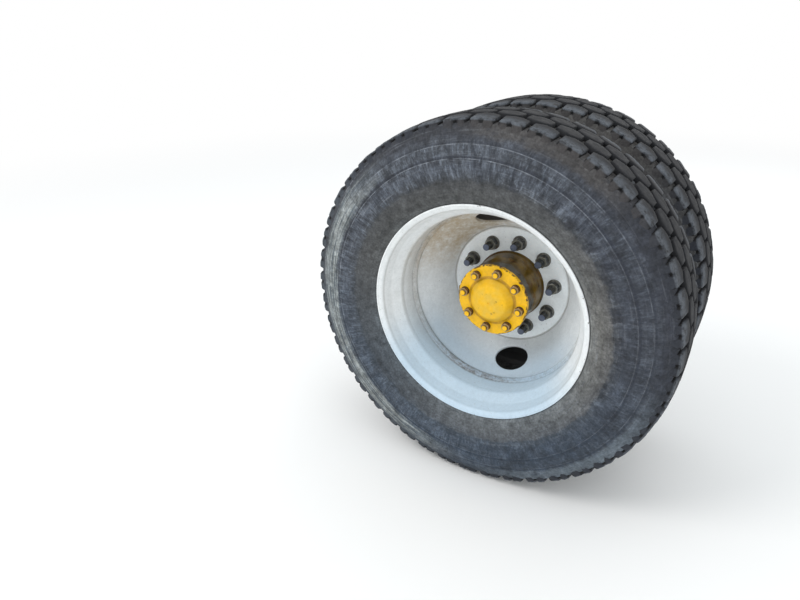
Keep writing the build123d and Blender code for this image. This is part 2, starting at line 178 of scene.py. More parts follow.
class Colours(bpy.types.PropertyGroup):
    """Clean, dusty and worn colours of every finish"""

    rubber: colour("Rubber", "Clean side of the tyre", 66, 70, 77)
    rubber_dark: colour("Dark rubber", "Grooves and shoulder", 40, 42, 47)
    rubber_dust: colour("Dusty rubber", "Dust round the rim", 100, 99, 96)
    rubber_worn: colour("Worn rubber", "Rubbed faces of the blocks", 98, 101, 106)
    mud: colour("Dried mud", "Band near the shoulder", 152, 156, 154)
    white: colour("White paint", "Rim and disc", 234, 236, 236)
    # Brown dust on the white, with painted shade in it where it lies on the disc's upper slope
    white_dust_and_shade: colour("Brown dust", "Dust and stains on the white", 184, 163, 130)
    yellow: colour("Yellow paint", "Shaft flange", 242, 186, 0)
    yellow_dust: colour("Dust on yellow", "Faded top of the dome", 214, 176, 66)
    casting: colour("Oily casting", "Hub barrel", 66, 48, 14)
    olive: colour("Olive oil stain", "Paint and oil on the barrel", 96, 72, 3)
    dark_steel: colour("Dark steel", "Wheel nuts and studs", 62, 64, 64)
    brown_steel: colour("Brown steel", "Nuts on the shaft flange", 122, 88, 48)
    iron: colour("Drum iron", "Brake drum", 92, 74, 62)
    black: colour("Chassis black", "Axle tube, spider and shields", 44, 45, 47)


GROUPS = {
    "wheel_end_tyre": TyreSizes,
    "wheel_end_wheel": WheelSizes,
    "wheel_end_hub": HubSizes,
    "wheel_end_nuts": NutSizes,
    "wheel_end_drum": DrumSizes,
    "wheel_end_colours": Colours,
}


# Shapes


def rounded_line(corners, closed=False, turn=radians(11)):
    """Points along a line of (radius, y, rounding) corners, each corner an arc."""
    points = []
    count = len(corners)
    for index, (radius, y, rounding) in enumerate(corners):
        here = Vector((radius, y))
        if rounding == 0 or (not closed and index in (0, count - 1)):
            points.append(here)
            continue
        back = Vector(corners[index - 1][:2]) - here
        ahead = Vector(corners[(index + 1) % count][:2]) - here
        half = back.angle(ahead) / 2
        reach = min(rounding / tan(half), 0.49 * back.length, 0.49 * ahead.length)
        to_middle = (back.normalized() + ahead.normalized()).normalized() * reach / cos(half)
        start = back.normalized() * reach - to_middle
        end = ahead.normalized() * reach - to_middle
        bend = atan2(start.cross(end), start.dot(end))
        steps = max(2, ceil(abs(bend) / turn))
        for step in range(steps + 1):
            spun = Matrix.Rotation(bend * step / steps, 2) @ start
            points.append(here + to_middle + spun)
    return points


def normals_along(line):
    """Unit normal at each point of an open line, to the right of its run."""
    normals = []
    for index in range(len(line)):
        run = line[min(index + 1, len(line) - 1)] - line[max(index - 1, 0)]
        normals.append(Vector((run.y, -run.x)).normalized())
    return normals


def plate_outline(line, wall, edge=0.0015):
    """Closed outline of a plate: one face follows the line and the other lies to its right.

    Both ends are rounded, and the round starts that far in from the line's ends."""
    normals = normals_along(line)
    outline = list(line[1:-1])
    other = [point + normal * wall for point, normal in zip(line, normals)]

    def rounded_end(first, last, run):
        """Points of the round from one face over to the other."""
        for step in range(5):
            angle = pi * step / 4
            across = (last - first) * (1 - cos(angle)) / 2
            yield first + across + run.normalized() * edge * (sin(angle) - 1)

    outline += rounded_end(line[-1], other[-1], line[-1] - line[-2])
    outline += reversed(other[1:-1])
    outline += rounded_end(other[0], line[0], line[0] - line[1])
    return outline


def about_axle(radius, angle, y):
    """Point at a radius and an angle in degrees about the axle."""
    return Vector((radius * cos(radians(angle)), y, radius * sin(radians(angle))))


def turned_round(angle):
    """Matrix that turns a thing about the axle, from +X towards +Z."""
    return Matrix.Rotation(radians(-angle), 4, "Y")


# The inner wheel is the outer one mirrored in the plane where the two discs meet
MIRROR = Matrix.Translation((0, 2 * TWIN_Y, 0)) @ Matrix.Diagonal((1, -1, 1, 1))


class Shape:
    """Points and faces gathered for one mesh."""

    def __init__(self):
        self.points = []
        self.faces = []

    def add(self, points, faces, place=None):
        """Adds points and their faces, moved to a place if one is given."""
        first = len(self.points)
        moved = (place @ Vector(point) for point in points) if place else points
        self.points += [tuple(point) for point in moved]
        self.faces += [tuple(first + index for index in face) for face in faces]

    def turn(self, line, closed=True, ring=RING, place=None):
        """Turns a line of (radius, y) points about the axle."""
        points, faces, rows = [], [], []
        for radius, y in line:
            count = ring if radius > 1e-6 else 1
            rows.append((len(points), count))
            points += [about_axle(radius, 360 * step / count, y) for step in range(count)]
        pairs = list(zip(rows, rows[1:]))
        if closed:
            pairs.append((rows[-1], rows[0]))
        for (low, low_count), (high, high_count) in pairs:
            for step in range(ring):
                after = (step + 1) % ring
                corners = [low + step % low_count, low + after % low_count,
                           high + after % high_count, high + step % high_count]
                face = list(dict.fromkeys(corners))
                if len(face) > 2:
                    faces.append(face)
        self.add(points, faces, place)

    def skin(self, rows, place=None, cap_start=True, cap_end=True):
        """Joins closed rows of equally many points, with a flat cap at each end."""
        count = len(rows[0])
        points = [point for row in rows for point in row]
        faces = [
            (row * count + step, row * count + (step + 1) % count,
             (row + 1) * count + (step + 1) % count, (row + 1) * count + step)
            for row in range(len(rows) - 1) for step in range(count)
        ]
        if cap_start:
            faces.append(tuple(reversed(range(count))))
        if cap_end:
            faces.append(tuple(range((len(rows) - 1) * count, len(rows) * count)))
        self.add(points, faces, place)

    def made(self, name, sharp=32, merge=0.0):
        """The finished object, smooth but for edges sharper than that many degrees.

        Points closer together than merge become one."""
        mesh = bpy.data.meshes.new(name)
        mesh.from_pydata(self.points, [], self.faces)
        work = bmesh.new()
        work.from_mesh(mesh)
        if merge:
            bmesh.ops.remove_doubles(work, verts=work.verts, dist=merge)
        bmesh.ops.recalc_face_normals(work, faces=work.faces)
        work.to_mesh(mesh)
        work.free()
        mesh.shade_smooth()
        mesh.set_sharp_from_angle(angle=radians(sharp))
        piece = bpy.data.objects.new(name, mesh)
        bpy.context.scene.collection.objects.link(piece)
        return piece


def finish_piece(piece, body, slot, node, finish=None):
    """Gives a piece its body and finish, and hides the imported node that it stands for.

    The finish has the slot's own name unless another is given."""
    piece.data.materials.clear()
    piece.data.materials.append(bpy.data.materials[f"{finish or slot}_finish"])
    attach(piece, body)
    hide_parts(node)


def softened_copy(node, width):
    """Copy of a solid with its sharp edges rounded to that width."""
    name = f"{node}_softened"
    mesh = frame["nodes"][node].data.copy()
    mesh.name = name
    work = bmesh.new()
    work.from_mesh(mesh)
    bmesh.ops.remove_doubles(work, verts=work.verts, dist=2e-6)
    bmesh.ops.dissolve_limit(
        work, angle_limit=radians(0.6), verts=work.verts, edges=work.edges
    )
    work.to_mesh(mesh)
    work.free()
    if "sharp_edge" in mesh.attributes:
        mesh.attributes.remove(mesh.attributes["sharp_edge"])
    piece = bpy.data.objects.new(name, mesh)
    bpy.context.scene.collection.objects.link(piece)
    bevel = piece.modifiers.new("Rounded edges", "BEVEL")
    bevel.width = width
    bevel.segments = 2
    bevel.limit_method = "ANGLE"
    bevel.angle_limit = radians(32)
    bevel.use_clamp_overlap = True
    graph = bpy.context.evaluated_depsgraph_get()
    rounded = bpy.data.meshes.new_from_object(piece.evaluated_get(graph))
    piece.modifiers.clear()
    piece.data = rounded
    rounded.shade_smooth()
    rounded.set_sharp_from_angle(angle=radians(40))
    return piece


# Node trees


class Tree:
    """Adds nodes to one tree and joins them."""

    def __init__(self, tree):
        self.tree = tree

    def put(self, socket, value):
        """Joins a value to a socket, or sets it there if it is a plain number or colour."""
        if isinstance(value, bpy.types.NodeSocket):
            self.tree.links.new(value, socket)
        elif hasattr(value, "__len__"):
            socket.default_value = tuple(value) + (1.0,) * (len(socket.default_value) - len(value))
        else:
            socket.default_value = value

    def add(self, kind, settings=None, **values):
        """New node of a kind, with its settings and with values on its named sockets."""
        node = self.tree.nodes.new(kind)
        for key, setting in (settings or {}).items():
            setattr(node, key, setting)
        for key, value in values.items():
            self.put(node.inputs[key.replace("_", " ")], value)
        return node

    def group(self, name, **values):
        """New node that holds one of the shared groups."""
        return self.add("ShaderNodeGroup", {"node_tree": bpy.data.node_groups[name]}, **values)

    def math(self, operation, first, second=0.5, clamp=False):
        """Result of one operation on one or two values."""
        node = self.add("ShaderNodeMath", {"operation": operation, "use_clamp": clamp})
        self.put(node.inputs[0], first)
        self.put(node.inputs[1], second)
        return node.outputs[0]

    def times(self, first, *others):
        """Product of masks, heights and plain numbers."""
        for other in others:
            first = self.math("MULTIPLY", first, other)
        return first

    def mix(self, share, first, second, blend="MIX"):
        """Colour between two others, or one laid on the other in another blend."""
        node = self.add("ShaderNodeMix", {"data_type": "RGBA", "blend_type": blend})
        self.put(node.inputs[0], share)
        self.put(node.inputs[6], first)
        self.put(node.inputs[7], second)
        return node.outputs[2]

    def fade(self, value, start, end, low=0.0, high=1.0):
        """Smooth step from low at start to high at end."""
        node = self.add("ShaderNodeMapRange", {"interpolation_type": "SMOOTHSTEP"},
                        Value=value, From_Min=start, From_Max=end, To_Min=low, To_Max=high)
        return node.outputs[0]

    def noise(self, vector, scale, detail=3.0, roughness=0.6, swirl=0.0):
        """Cloudy value of about 0 to 1."""
        node = self.add("ShaderNodeTexNoise", Vector=vector, Scale=scale, Detail=detail,
                        Roughness=roughness, Distortion=swirl)
        return node.outputs[0]

    def ramp(self, value, stops):
        """Colour ramp from a table of (place, colour)."""
        node = self.add("ShaderNodeValToRGB", Fac=value)
        node.color_ramp.interpolation = "EASE"
        elements = node.color_ramp.elements
        while len(elements) < len(stops):
            elements.new(1.0)
        for element, (place, shade) in zip(elements, stops):
            element.position = place
            element.color = (*shade, 1.0)
        return node.outputs[0]

    def bump(self, height, distance, strength=1.0):
        """Normal of a surface raised by a height."""
        return self.add("ShaderNodeBump", Height=height, Distance=distance,
                        Strength=strength).outputs[0]


def new_group(name, inputs, outputs):
    """Empty shader group, with float or colour sockets. Returns its tree and its two ends."""
    group = bpy.data.node_groups.new(name, "ShaderNodeTree")
    kinds = {float: "NodeSocketFloat", tuple: "NodeSocketColor"}
    for label, value in inputs.items():
        socket = group.interface.new_socket(label, in_out="INPUT", socket_type=kinds[type(value)])
        socket.default_value = value
    for label, kind in outputs.items():
        group.interface.new_socket(label, in_out="OUTPUT", socket_type=kinds[kind])
    tree = Tree(group)
    return tree, tree.add("NodeGroupInput").outputs, tree.add("NodeGroupOutput").inputs


def group_polar():
    """Radius, angle in degrees and place along the axle of a point of the object."""
    tree, _, out = new_group("Wheel Polar", {}, {"Radius": float, "Angle": float, "Depth": float})
    place = tree.add("ShaderNodeTexCoord").outputs["Object"]
    parts = tree.add("ShaderNodeSeparateXYZ", Vector=place).outputs
    across = tree.math("MULTIPLY", parts[0], parts[0])
    up = tree.math("MULTIPLY", parts[2], parts[2])
    tree.put(out["Radius"], tree.math("SQRT", tree.math("ADD", across, up)))
    angle = tree.math("ARCTAN2", parts[2], parts[0])
    tree.put(out["Angle"], tree.math("MULTIPLY", angle, 180 / pi))
    tree.put(out["Depth"], parts[1])


def group_ring():
    """Mask of a ring or band between two values, with soft edges."""
    tree, value, out = new_group(
        "Ring Mask", {"Value": 0.0, "Low": 0.0, "High": 1.0, "Softness": 0.1}, {"Mask": float}
    )
    above = tree.math("SUBTRACT", value["Value"], value["Low"])
    below = tree.math("SUBTRACT", value["High"], value["Value"])
    inside = tree.math("MINIMUM", above, below)
    share = tree.math("DIVIDE", inside, value["Softness"])
    tree.put(out["Mask"], tree.fade(share, -0.5, 0.5))


def group_sector():
    """Mask of a sector about a middle angle, with soft edges, all in degrees."""
    tree, value, out = new_group(
        "Sector Mask", {"Angle": 0.0, "Middle": 0.0, "Half": 30.0, "Softness": 10.0},
        {"Mask": float},
    )
    away = tree.math("SUBTRACT", value["Angle"], value["Middle"])
    wrapped = tree.add("ShaderNodeMath", {"operation": "WRAP"})
    for socket, number in zip(wrapped.inputs, (away, 180.0, -180.0)):
        tree.put(socket, number)
    inside = tree.math("SUBTRACT", value["Half"], tree.math("ABSOLUTE", wrapped.outputs[0]))
    share = tree.math("DIVIDE", inside, value["Softness"])
    tree.put(out["Mask"], tree.fade(share, -0.5, 0.5))


def group_mottle():
    """Patches and specks from noise: a mask and a value round one to darken or lighten with."""
    tree, value, out = new_group(
        "Mottle", {"Scale": 20.0, "Cover": 0.5, "Softness": 0.2, "Contrast": 0.2},
        {"Mask": float, "Shade": float},
    )
    place = tree.add("ShaderNodeTexCoord").outputs["Object"]
    cloud = tree.noise(place, value["Scale"], 6.0, 0.62)
    edge = tree.math("SUBTRACT", 1.0, value["Cover"])
    share = tree.math("DIVIDE", tree.math("SUBTRACT", cloud, edge), value["Softness"])
    tree.put(out["Mask"], tree.fade(share, -0.5, 0.5))
    swing = tree.math("MULTIPLY", tree.math("SUBTRACT", cloud, 0.5), value["Contrast"])
    tree.put(out["Shade"], tree.math("ADD", tree.math("MULTIPLY", swing, 2.0), 1.0))


def group_grain():
    """Fine height of a cast, painted or moulded surface."""
    tree, value, out = new_group(
        "Surface Grain", {"Scale": 300.0, "Coarse": 40.0, "Share": 0.5}, {"Height": float}
    )
    place = tree.add("ShaderNodeTexCoord").outputs["Object"]
    fine = tree.noise(place, value["Scale"], 3.0)
    coarse = tree.noise(place, value["Coarse"], 4.0)
    part = tree.math("MULTIPLY", tree.math("SUBTRACT", coarse, fine), value["Share"])
    tree.put(out["Height"], tree.math("ADD", fine, part))


def group_dust():
    """A coat of dust, thickest where a cloudy noise is strong."""
    tree, value, out = new_group(
        "Dust Coat",
        {"Color": (0.5, 0.5, 0.5, 1.0), "Dust Color": (0.3, 0.25, 0.2, 1.0), "Amount": 0.3,
         "Scale": 12.0},
        {"Color": tuple, "Mask": float},
    )
    place = tree.add("ShaderNodeTexCoord").outputs["Object"]
    cloud = tree.noise(place, value["Scale"], 7.0, 0.65)
    mask = tree.math("MULTIPLY", tree.fade(cloud, 0.35, 0.7), value["Amount"], clamp=True)
    tree.put(out["Mask"], mask)
    tree.put(out["Color"], tree.mix(mask, value["Color"], value["Dust Color"]))


GROUP_MAKERS = (group_polar, group_ring, group_sector, group_mottle, group_grain, group_dust)


# Finishes


class Finish(Tree):
    """A material under way: its node tree, its shader and its base colour so far."""

    def __init__(self, name, base=None):
        self.material = bpy.data.materials.new(f"{name}_finish")
        self.material.use_nodes = True
        self.material.node_tree.nodes.clear()
        super().__init__(self.material.node_tree)
        self.shader = self.add("ShaderNodeBsdfPrincipled")
        self.surface = self.add("ShaderNodeOutputMaterial").inputs["Surface"]
        self.put(self.surface, self.shader.outputs[0])
        self.base = base

    def ring(self, value, low, high, softness):
        """Mask of a band between two values."""
        return self.group("Ring Mask", Value=value, Low=low, High=high,
                          Softness=softness).outputs[0]

    def sector(self, angle, middle, half, softness):
        """Mask of a sector about the axle."""
        return self.group("Sector Mask", Angle=angle, Middle=middle, Half=half,
                          Softness=softness).outputs[0]

    def patches(self, scale, cover, softness):
        """Mask of patches, by how small they are and how much of the surface they cover."""
        return self.group("Mottle", Scale=scale, Cover=cover, Softness=softness).outputs["Mask"]

    def coat(self, shade, *masks):
        """Lays a colour over the base, as thick as the product of the masks and shares."""
        self.base = self.mix(self.times(*masks), self.base, shade)

    def mottle(self, *patches):
        """Makes the base lighter and darker in patches: (scale, contrast) each."""
        for scale, contrast in patches:
            value = self.group("Mottle", Scale=scale, Contrast=contrast).outputs["Shade"]
            grey = self.add("ShaderNodeCombineColor", Red=value, Green=value, Blue=value)
            self.base = self.mix(1.0, self.base, grey.outputs[0], "MULTIPLY")

    def grain(self, scale, coarse, share):
        """Height of the surface's grain, fine and coarse."""
        return self.group("Surface Grain", Scale=scale, Coarse=coarse, Share=share).outputs[0]

    def close(self, roughness, height, distance, strength, **sockets):
        """Joins the base colour, the roughness, the bumps and any other sockets."""
        sockets |= {"Base_Color": self.base, "Roughness": roughness,
                    "Normal": self.bump(height, distance, strength)}
        for key, value in sockets.items():
            self.put(self.shader.inputs[key.replace("_", " ")], value)


# Tyre rubber. Streaks: noise from, to, share and colour, dark or light
RADIAL_STREAKS = ((0.48, 0.64, 0.55, (112, 120, 131)), (0.45, 0.34, 0.60, (42, 46, 54)))
LONG_STREAKS = ((0.54, 0.68, 0.46, (118, 122, 128)), (0.46, 0.34, 0.46, (48, 51, 56)))
FINE_STREAKS = ((0.51, 0.66, 0.46, (108, 114, 123)), (0.49, 0.35, 0.70, (40, 44, 52)))

# Films, painted shadow and painted sky light on the outboard flank: ring from, to and softness,
# sector's middle, half and softness, colour and share
FLANK_FILMS_AND_SHADE = (
    ((0.300, 0.392, 0.008), (140.0, 105.0, 70.0), (56, 59, 62), 0.66),  # cleaner by the rim
    ((0.404, 0.560, 0.012), (-20.0, 76.0, 60.0), (40, 44, 54), 0.52),  # darker at the front
    ((0.486, 0.560, 0.010), (78.0, 46.0, 40.0), (38, 40, 46), 0.42),  # painted shadow on the top edge
    ((0.300, 0.560, 0.020), (262.0, 74.0, 70.0), (50, 70, 88), 0.32),  # painted blue sky light below
)


def strokes(tree, round_axle, along_radius, along_axle, swirl=0.0):
    """Noise drawn out into streaks, by how fine it is in each direction."""
    radius, angle, depth = tree.group("Wheel Polar").outputs
    spread = tree.add("ShaderNodeCombineXYZ", X=tree.times(angle, round_axle),
                      Y=tree.times(radius, along_radius), Z=tree.times(depth, along_axle))
    return tree.noise(spread.outputs[0], 1.0, 5.0, 0.72, swirl)


def rubber_material():
    """Tyre rubber: dusty near the rim, scuffed on the flank, muddy and dark at the shoulder."""
    tints = bpy.context.scene.wheel_end_colours
    tree = Finish("tyre_rubber")
    radius, angle, depth = tree.group("Wheel Polar").outputs
    place = tree.add("ShaderNodeTexCoord").outputs["Object"]
    wobble = tree.math("SUBTRACT", tree.noise(place, 26.0, 6.0, 0.7), 0.5)
    loose = tree.math("ADD", radius, tree.times(wobble, 0.036))
    zones_from, zones_width = 0.320, 0.230
    way = tree.math("DIVIDE", tree.math("SUBTRACT", loose, zones_from), zones_width)
    tree.base = tree.ramp(way, (
        (0.00, linear(118, 119, 117)), (0.14, tints.rubber_dust), (0.27, linear(92, 91, 90)),
        (0.32, linear(64, 67, 72)), (0.46, linear(72, 77, 86)), (0.54, linear(54, 57, 64)),
        (0.62, tints.rubber), (0.76, linear(71, 75, 83)), (0.82, linear(55, 57, 63)),
        (0.93, tints.rubber_dark),
    ))

    # Short streaks along the radius and long ones round the axle, as left by rubbing
    radial = strokes(tree, 1.1, 26.0, 10.0)
    long = strokes(tree, 0.06, 170.0, 20.0)
    fine = strokes(tree, 0.60, 17.0, 12.0, 0.45)
    scuffed = tree.ring(loose, 0.394, 0.486, 0.02)
    for streaks, table, where in (
        (radial, RADIAL_STREAKS, (scuffed,)), (long, LONG_STREAKS, ()),
        (fine, FINE_STREAKS, (tree.ring(loose, 0.396, 0.505, 0.02),)),
    ):
        for start, end, share, shown in table:
            tree.coat(linear(*shown), tree.fade(streaks, start, end), *where, share)

    # Moulded rings: a pale line worn on each, and a dark groove beside it
    pale = tree.math("MAXIMUM", *(tree.ring(radius, low, low + 0.0022, 0.0012)
                                  for low in (0.4435, 0.4795)))
    tree.coat(linear(136, 141, 148), pale, tree.patches(18.0, 0.55, 0.2), 0.5)
    for low, high, share in ((0.4468, 0.4530, 0.62), (0.4826, 0.4870, 0.50)):
        tree.coat(linear(36, 40, 50), tree.ring(radius, low, high, 0.005), share)

    # Dark rubbed spots on the front of the flank
    tree.coat(linear(42, 44, 50), tree.patches(30.0, 0.46, 0.07),
              tree.ring(loose, 0.384, 0.414, 0.016), tree.sector(angle, 28.0, 56.0, 24.0), 0.8)

    outboard = tree.fade(depth, TYRE_Y - 0.060, TYRE_Y - 0.100)
    ragged = tree.math("ADD", loose, tree.times(tree.math("SUBTRACT", radial, 0.5), 0.05))
    # Films on the flank, with painted shadow on its top edge and painted sky light below
    for ring, side, shown, share in FLANK_FILMS_AND_SHADE:
        tree.coat(linear(*shown), tree.ring(ragged, *ring), tree.sector(angle, *side),
                  outboard, share)

    # Dried mud at the rear of the shoulder, a splash at the front, and earth on top
    cloud = tree.patches(30.0, 0.66, 0.3)
    mud = tree.mix(tree.fade(long, 0.42, 0.58), linear(88, 96, 100), tints.mud)
    tree.coat(mud, tree.ring(loose, 0.456, 0.510, 0.018), tree.sector(angle, 196.0, 58.0, 34.0),
              cloud, 0.80)
    tree.coat(linear(118, 128, 136), tree.ring(loose, 0.490, 0.534, 0.014),
              tree.sector(angle, -50.0, 30.0, 30.0), cloud, 0.45)
    tree.coat(linear(86, 82, 78), tree.ring(loose, 0.500, 0.545, 0.02),
              tree.sector(angle, 70.0, 22.0, 16.0), cloud, 0.5)

    # Plain grey dust on the inboard side
    tree.coat(linear(62, 60, 57), tree.fade(depth, TYRE_Y + 0.020, TYRE_Y + 0.060), 0.5)
    tree.mottle((7.0, 0.30), (18.0, 0.55), (48.0, 1.0), (170.0, 0.9))
    height = tree.math("ADD", tree.grain(330.0, 60.0, 0.7), tree.times(radial, scuffed, 1.6))
    height = tree.math("ADD", height, tree.times(long, 0.5))
    tree.close(tree.fade(radial, 0.2, 0.8, 0.58, 0.86), height, 0.0016, 0.75,
               Specular_IOR_Level=0.35)


def tread_material():
    """Tread blocks: dark, with rubbed grey tops and the flank's dirt at the shoulders."""
    tints = bpy.context.scene.wheel_end_colours
    tyre = bpy.context.scene.wheel_end_tyre
    tree = Finish("tyre_tread")
    radius, angle, depth = tree.group("Wheel Polar").outputs
    top = tree.fade(radius, tyre.tread_radius - tyre.groove_depth,
                    tyre.tread_radius - tyre.crown_drop - 0.002)
    away = tree.math("MINIMUM", *(
        tree.math("ABSOLUTE", tree.math("SUBTRACT", depth, middle))
        for middle in (TYRE_Y, 2 * TWIN_Y - TYRE_Y)
    ))
    tree.base = tree.mix(top, linear(18, 18, 20), linear(33, 34, 37))

    # Outer sides of the shoulder blocks, browner on top and paler at the rear
    side = linear(50, 53, 60)
    for middle, half, shown, share in ((70.0, 30.0, (76, 71, 67), 0.6),
                                       (196.0, 58.0, (84, 90, 96), 0.6)):
        dirty = tree.times(tree.sector(angle, middle, half, 30.0), share)
        side = tree.mix(dirty, side, linear(*shown))
    tree.coat(side, tree.fade(away, 0.1120, 0.1155), 0.85)

    worn = tree.group("Mottle", Scale=60.0, Cover=0.58, Softness=0.22, Contrast=0.5).outputs
    rubbed = tree.times(tree.fade(away, 0.070, 0.108), worn["Mask"], top, 0.85)
    tree.coat(linear(88, 92, 98), rubbed)
    tree.coat(tints.rubber_worn, tree.patches(95.0, 0.38, 0.10), rubbed, 0.7)
    tree.mottle((30.0, 0.45), (170.0, 0.70))
    tree.close(tree.fade(worn["Shade"], 0.7, 1.3, 0.66, 0.9), tree.grain(300.0, 55.0, 0.8),
               0.0018, 0.8, Specular_IOR_Level=0.3)


def white_material():
    """White wheel paint: brown dust and painted shade at the top, painted shade in the turns and
    creases and below, painted light on the pad, specks and chips, and a grimy inner wheel.
    """
    tints = bpy.context.scene.wheel_end_colours
    sizes = bpy.context.scene.wheel_end_wheel
    tree = Finish("white_wheel")
    radius, angle, depth = tree.group("Wheel Polar").outputs
    tree.base = tree.group("Dust Coat", Color=tints.white, Dust_Color=linear(200, 203, 203),
                           Amount=0.32, Scale=34.0).outputs["Color"]

    # Brown dust and painted shade on the disc's upper slope, with scribbled edges
    cloud = tree.patches(34.0, 0.56, 0.34)
    scribble = tree.patches(105.0, 0.54, 0.30)
    patchy = tree.math("ADD", tree.times(scribble, 0.34),
                       tree.math("ADD", 0.22, tree.times(cloud, 0.36)))
    tree.coat(tints.white_dust_and_shade, tree.ring(radius, 0.190, 0.276, 0.02),
              tree.sector(angle, 126.0, 38.0, 50.0), patchy)

    # Painted shade and dirt in the crease round the pad and along its inner bend, and painted
    # light that makes the pad inside it lighter
    on_disc = tree.fade(depth, DISH_Y + 0.150, DISH_Y + 0.156)
    for start, end, share in ((0.0004, 0.0050, 0.50), (-0.0095, -0.0070, 0.25)):
        line = tree.ring(radius, sizes.pad_radius + start, sizes.pad_radius + end, 0.0030)
        tree.coat(linear(122, 113, 104), line, on_disc, share)
    tree.coat(linear(250, 254, 255),
              tree.fade(radius, sizes.pad_radius + 0.001, sizes.pad_radius - 0.004), 0.9)

    # Painted shade in the rim's turns, and painted blue-grey shade on the lower half
    turns = tree.math("MAXIMUM", *(tree.ring(depth, DISH_Y + low, DISH_Y + high, 0.008)
                                   for low, high in ((0.0115, 0.0175), (0.0740, 0.0860))))
    tree.coat(linear(150, 148, 142), turns, 0.36)
    plate = tree.fade(depth, DISH_Y + 0.148, DISH_Y + 0.156)
    cool = tree.mix(plate, linear(170, 197, 217), linear(148, 172, 190))
    tree.coat(cool, tree.sector(angle, 268.0, 62.0, 42.0), tree.fade(radius, 0.19, 0.26), 0.72)

    # Dirt and painted shade in the creases beside the weld, darkest at its lowest point, and brown
    # painted shade round them at the rear
    level = tree.math("ADD", 0.34, tree.times(tree.sector(angle, 258.0, 24.0, 40.0), 0.46))
    specked = tree.math("ADD", 0.35, tree.times(tree.patches(90.0, 0.52, 0.3), 0.65))
    tree.coat(linear(100, 90, 80), tree.ring(depth, DISH_Y + 0.1350, DISH_Y + 0.1545, 0.010),
              level, specked)
    tree.coat(linear(142, 128, 110), tree.ring(depth, DISH_Y + 0.112, DISH_Y + 0.158, 0.034),
              tree.sector(angle, 165.0, 75.0, 60.0), 0.16)

    # Stone chips on the lip, and brown specks all over
    lip = tree.fade(radius, sizes.lip_radius - 0.006, sizes.lip_radius - 0.002)
    tree.coat(linear(78, 74, 70), lip, tree.patches(70.0, 0.36, 0.04), 0.85)
    tree.coat(linear(112, 102, 92), tree.patches(230.0, 0.325, 0.05), 0.60)
    tree.mottle((6.0, 0.08), (120.0, 0.14))

    # Brake dust and road grime all over the inner wheel, and on the back of the outer disc
    normal = tree.add("ShaderNodeTexCoord").outputs["Normal"]
    inboard = tree.add("ShaderNodeSeparateXYZ", Vector=normal).outputs["Y"]
    behind = tree.times(tree.fade(inboard, 0.10, 0.45),
                        tree.fade(depth, DISH_Y + 0.130, DISH_Y + 0.150), 0.7)
    inner = tree.times(tree.fade(depth, TWIN_Y - 0.002, TWIN_Y + 0.004), 0.9)
    tree.coat(linear(66, 58, 51), tree.math("MAXIMUM", inner, behind))
    tree.close(tree.math("ADD", 0.36, tree.times(cloud, 0.2)), tree.grain(300.0, 34.0, 0.5),
               0.0008, 0.4)


def casting_material():
    """Oily hub casting: grey brown by the flange, olive and dark brown towards the disc."""
    tints = bpy.context.scene.wheel_end_colours
    tree = Finish("oily_casting")
    _, angle, depth = tree.group("Wheel Polar").outputs
    place = tree.add("ShaderNodeTexCoord").outputs["Object"]
    wobble = tree.times(tree.math("SUBTRACT", tree.noise(place, 12.0, 4.0), 0.5), 0.07)
    oily = tree.fade(tree.math("ADD", depth, wobble), HUB_END_Y + 0.034, HUB_END_Y + 0.050)
    stain = tree.mix(tree.patches(20.0, 0.54, 0.18), tints.casting, tints.olive)
    tree.base = tree.mix(oily, linear(92, 88, 80), stain)

    # Rusty streaks, dark drips, and a dark edge by the shaft's flange
    streaks = tree.patches(30.0, 0.42, 0.10)
    tree.coat(linear(104, 66, 44), streaks, 0.6)
    tree.coat(linear(40, 34, 22), tree.patches(55.0, 0.36, 0.08), 0.7)
    tree.coat(linear(30, 25, 18), tree.fade(depth, HUB_END_Y + 0.007, HUB_END_Y + 0.002))

    # Overspray beside the disc, on the front and top
    tree.coat(linear(122, 92, 3), tree.patches(24.0, 0.56, 0.15),
              tree.sector(angle, 40.0, 80.0, 30.0),
              tree.ring(depth, TWIN_Y - 0.080, TWIN_Y - 0.020, 0.02), 0.85)
    tree.mottle((75.0, 0.5))
    tree.close(tree.fade(streaks, 0.0, 1.0, 0.32, 0.6), tree.grain(180.0, 45.0, 0.9),
               0.0018, 0.6, Metallic=tree.fade(oily, 0.0, 1.0, 0.3, 0.0))


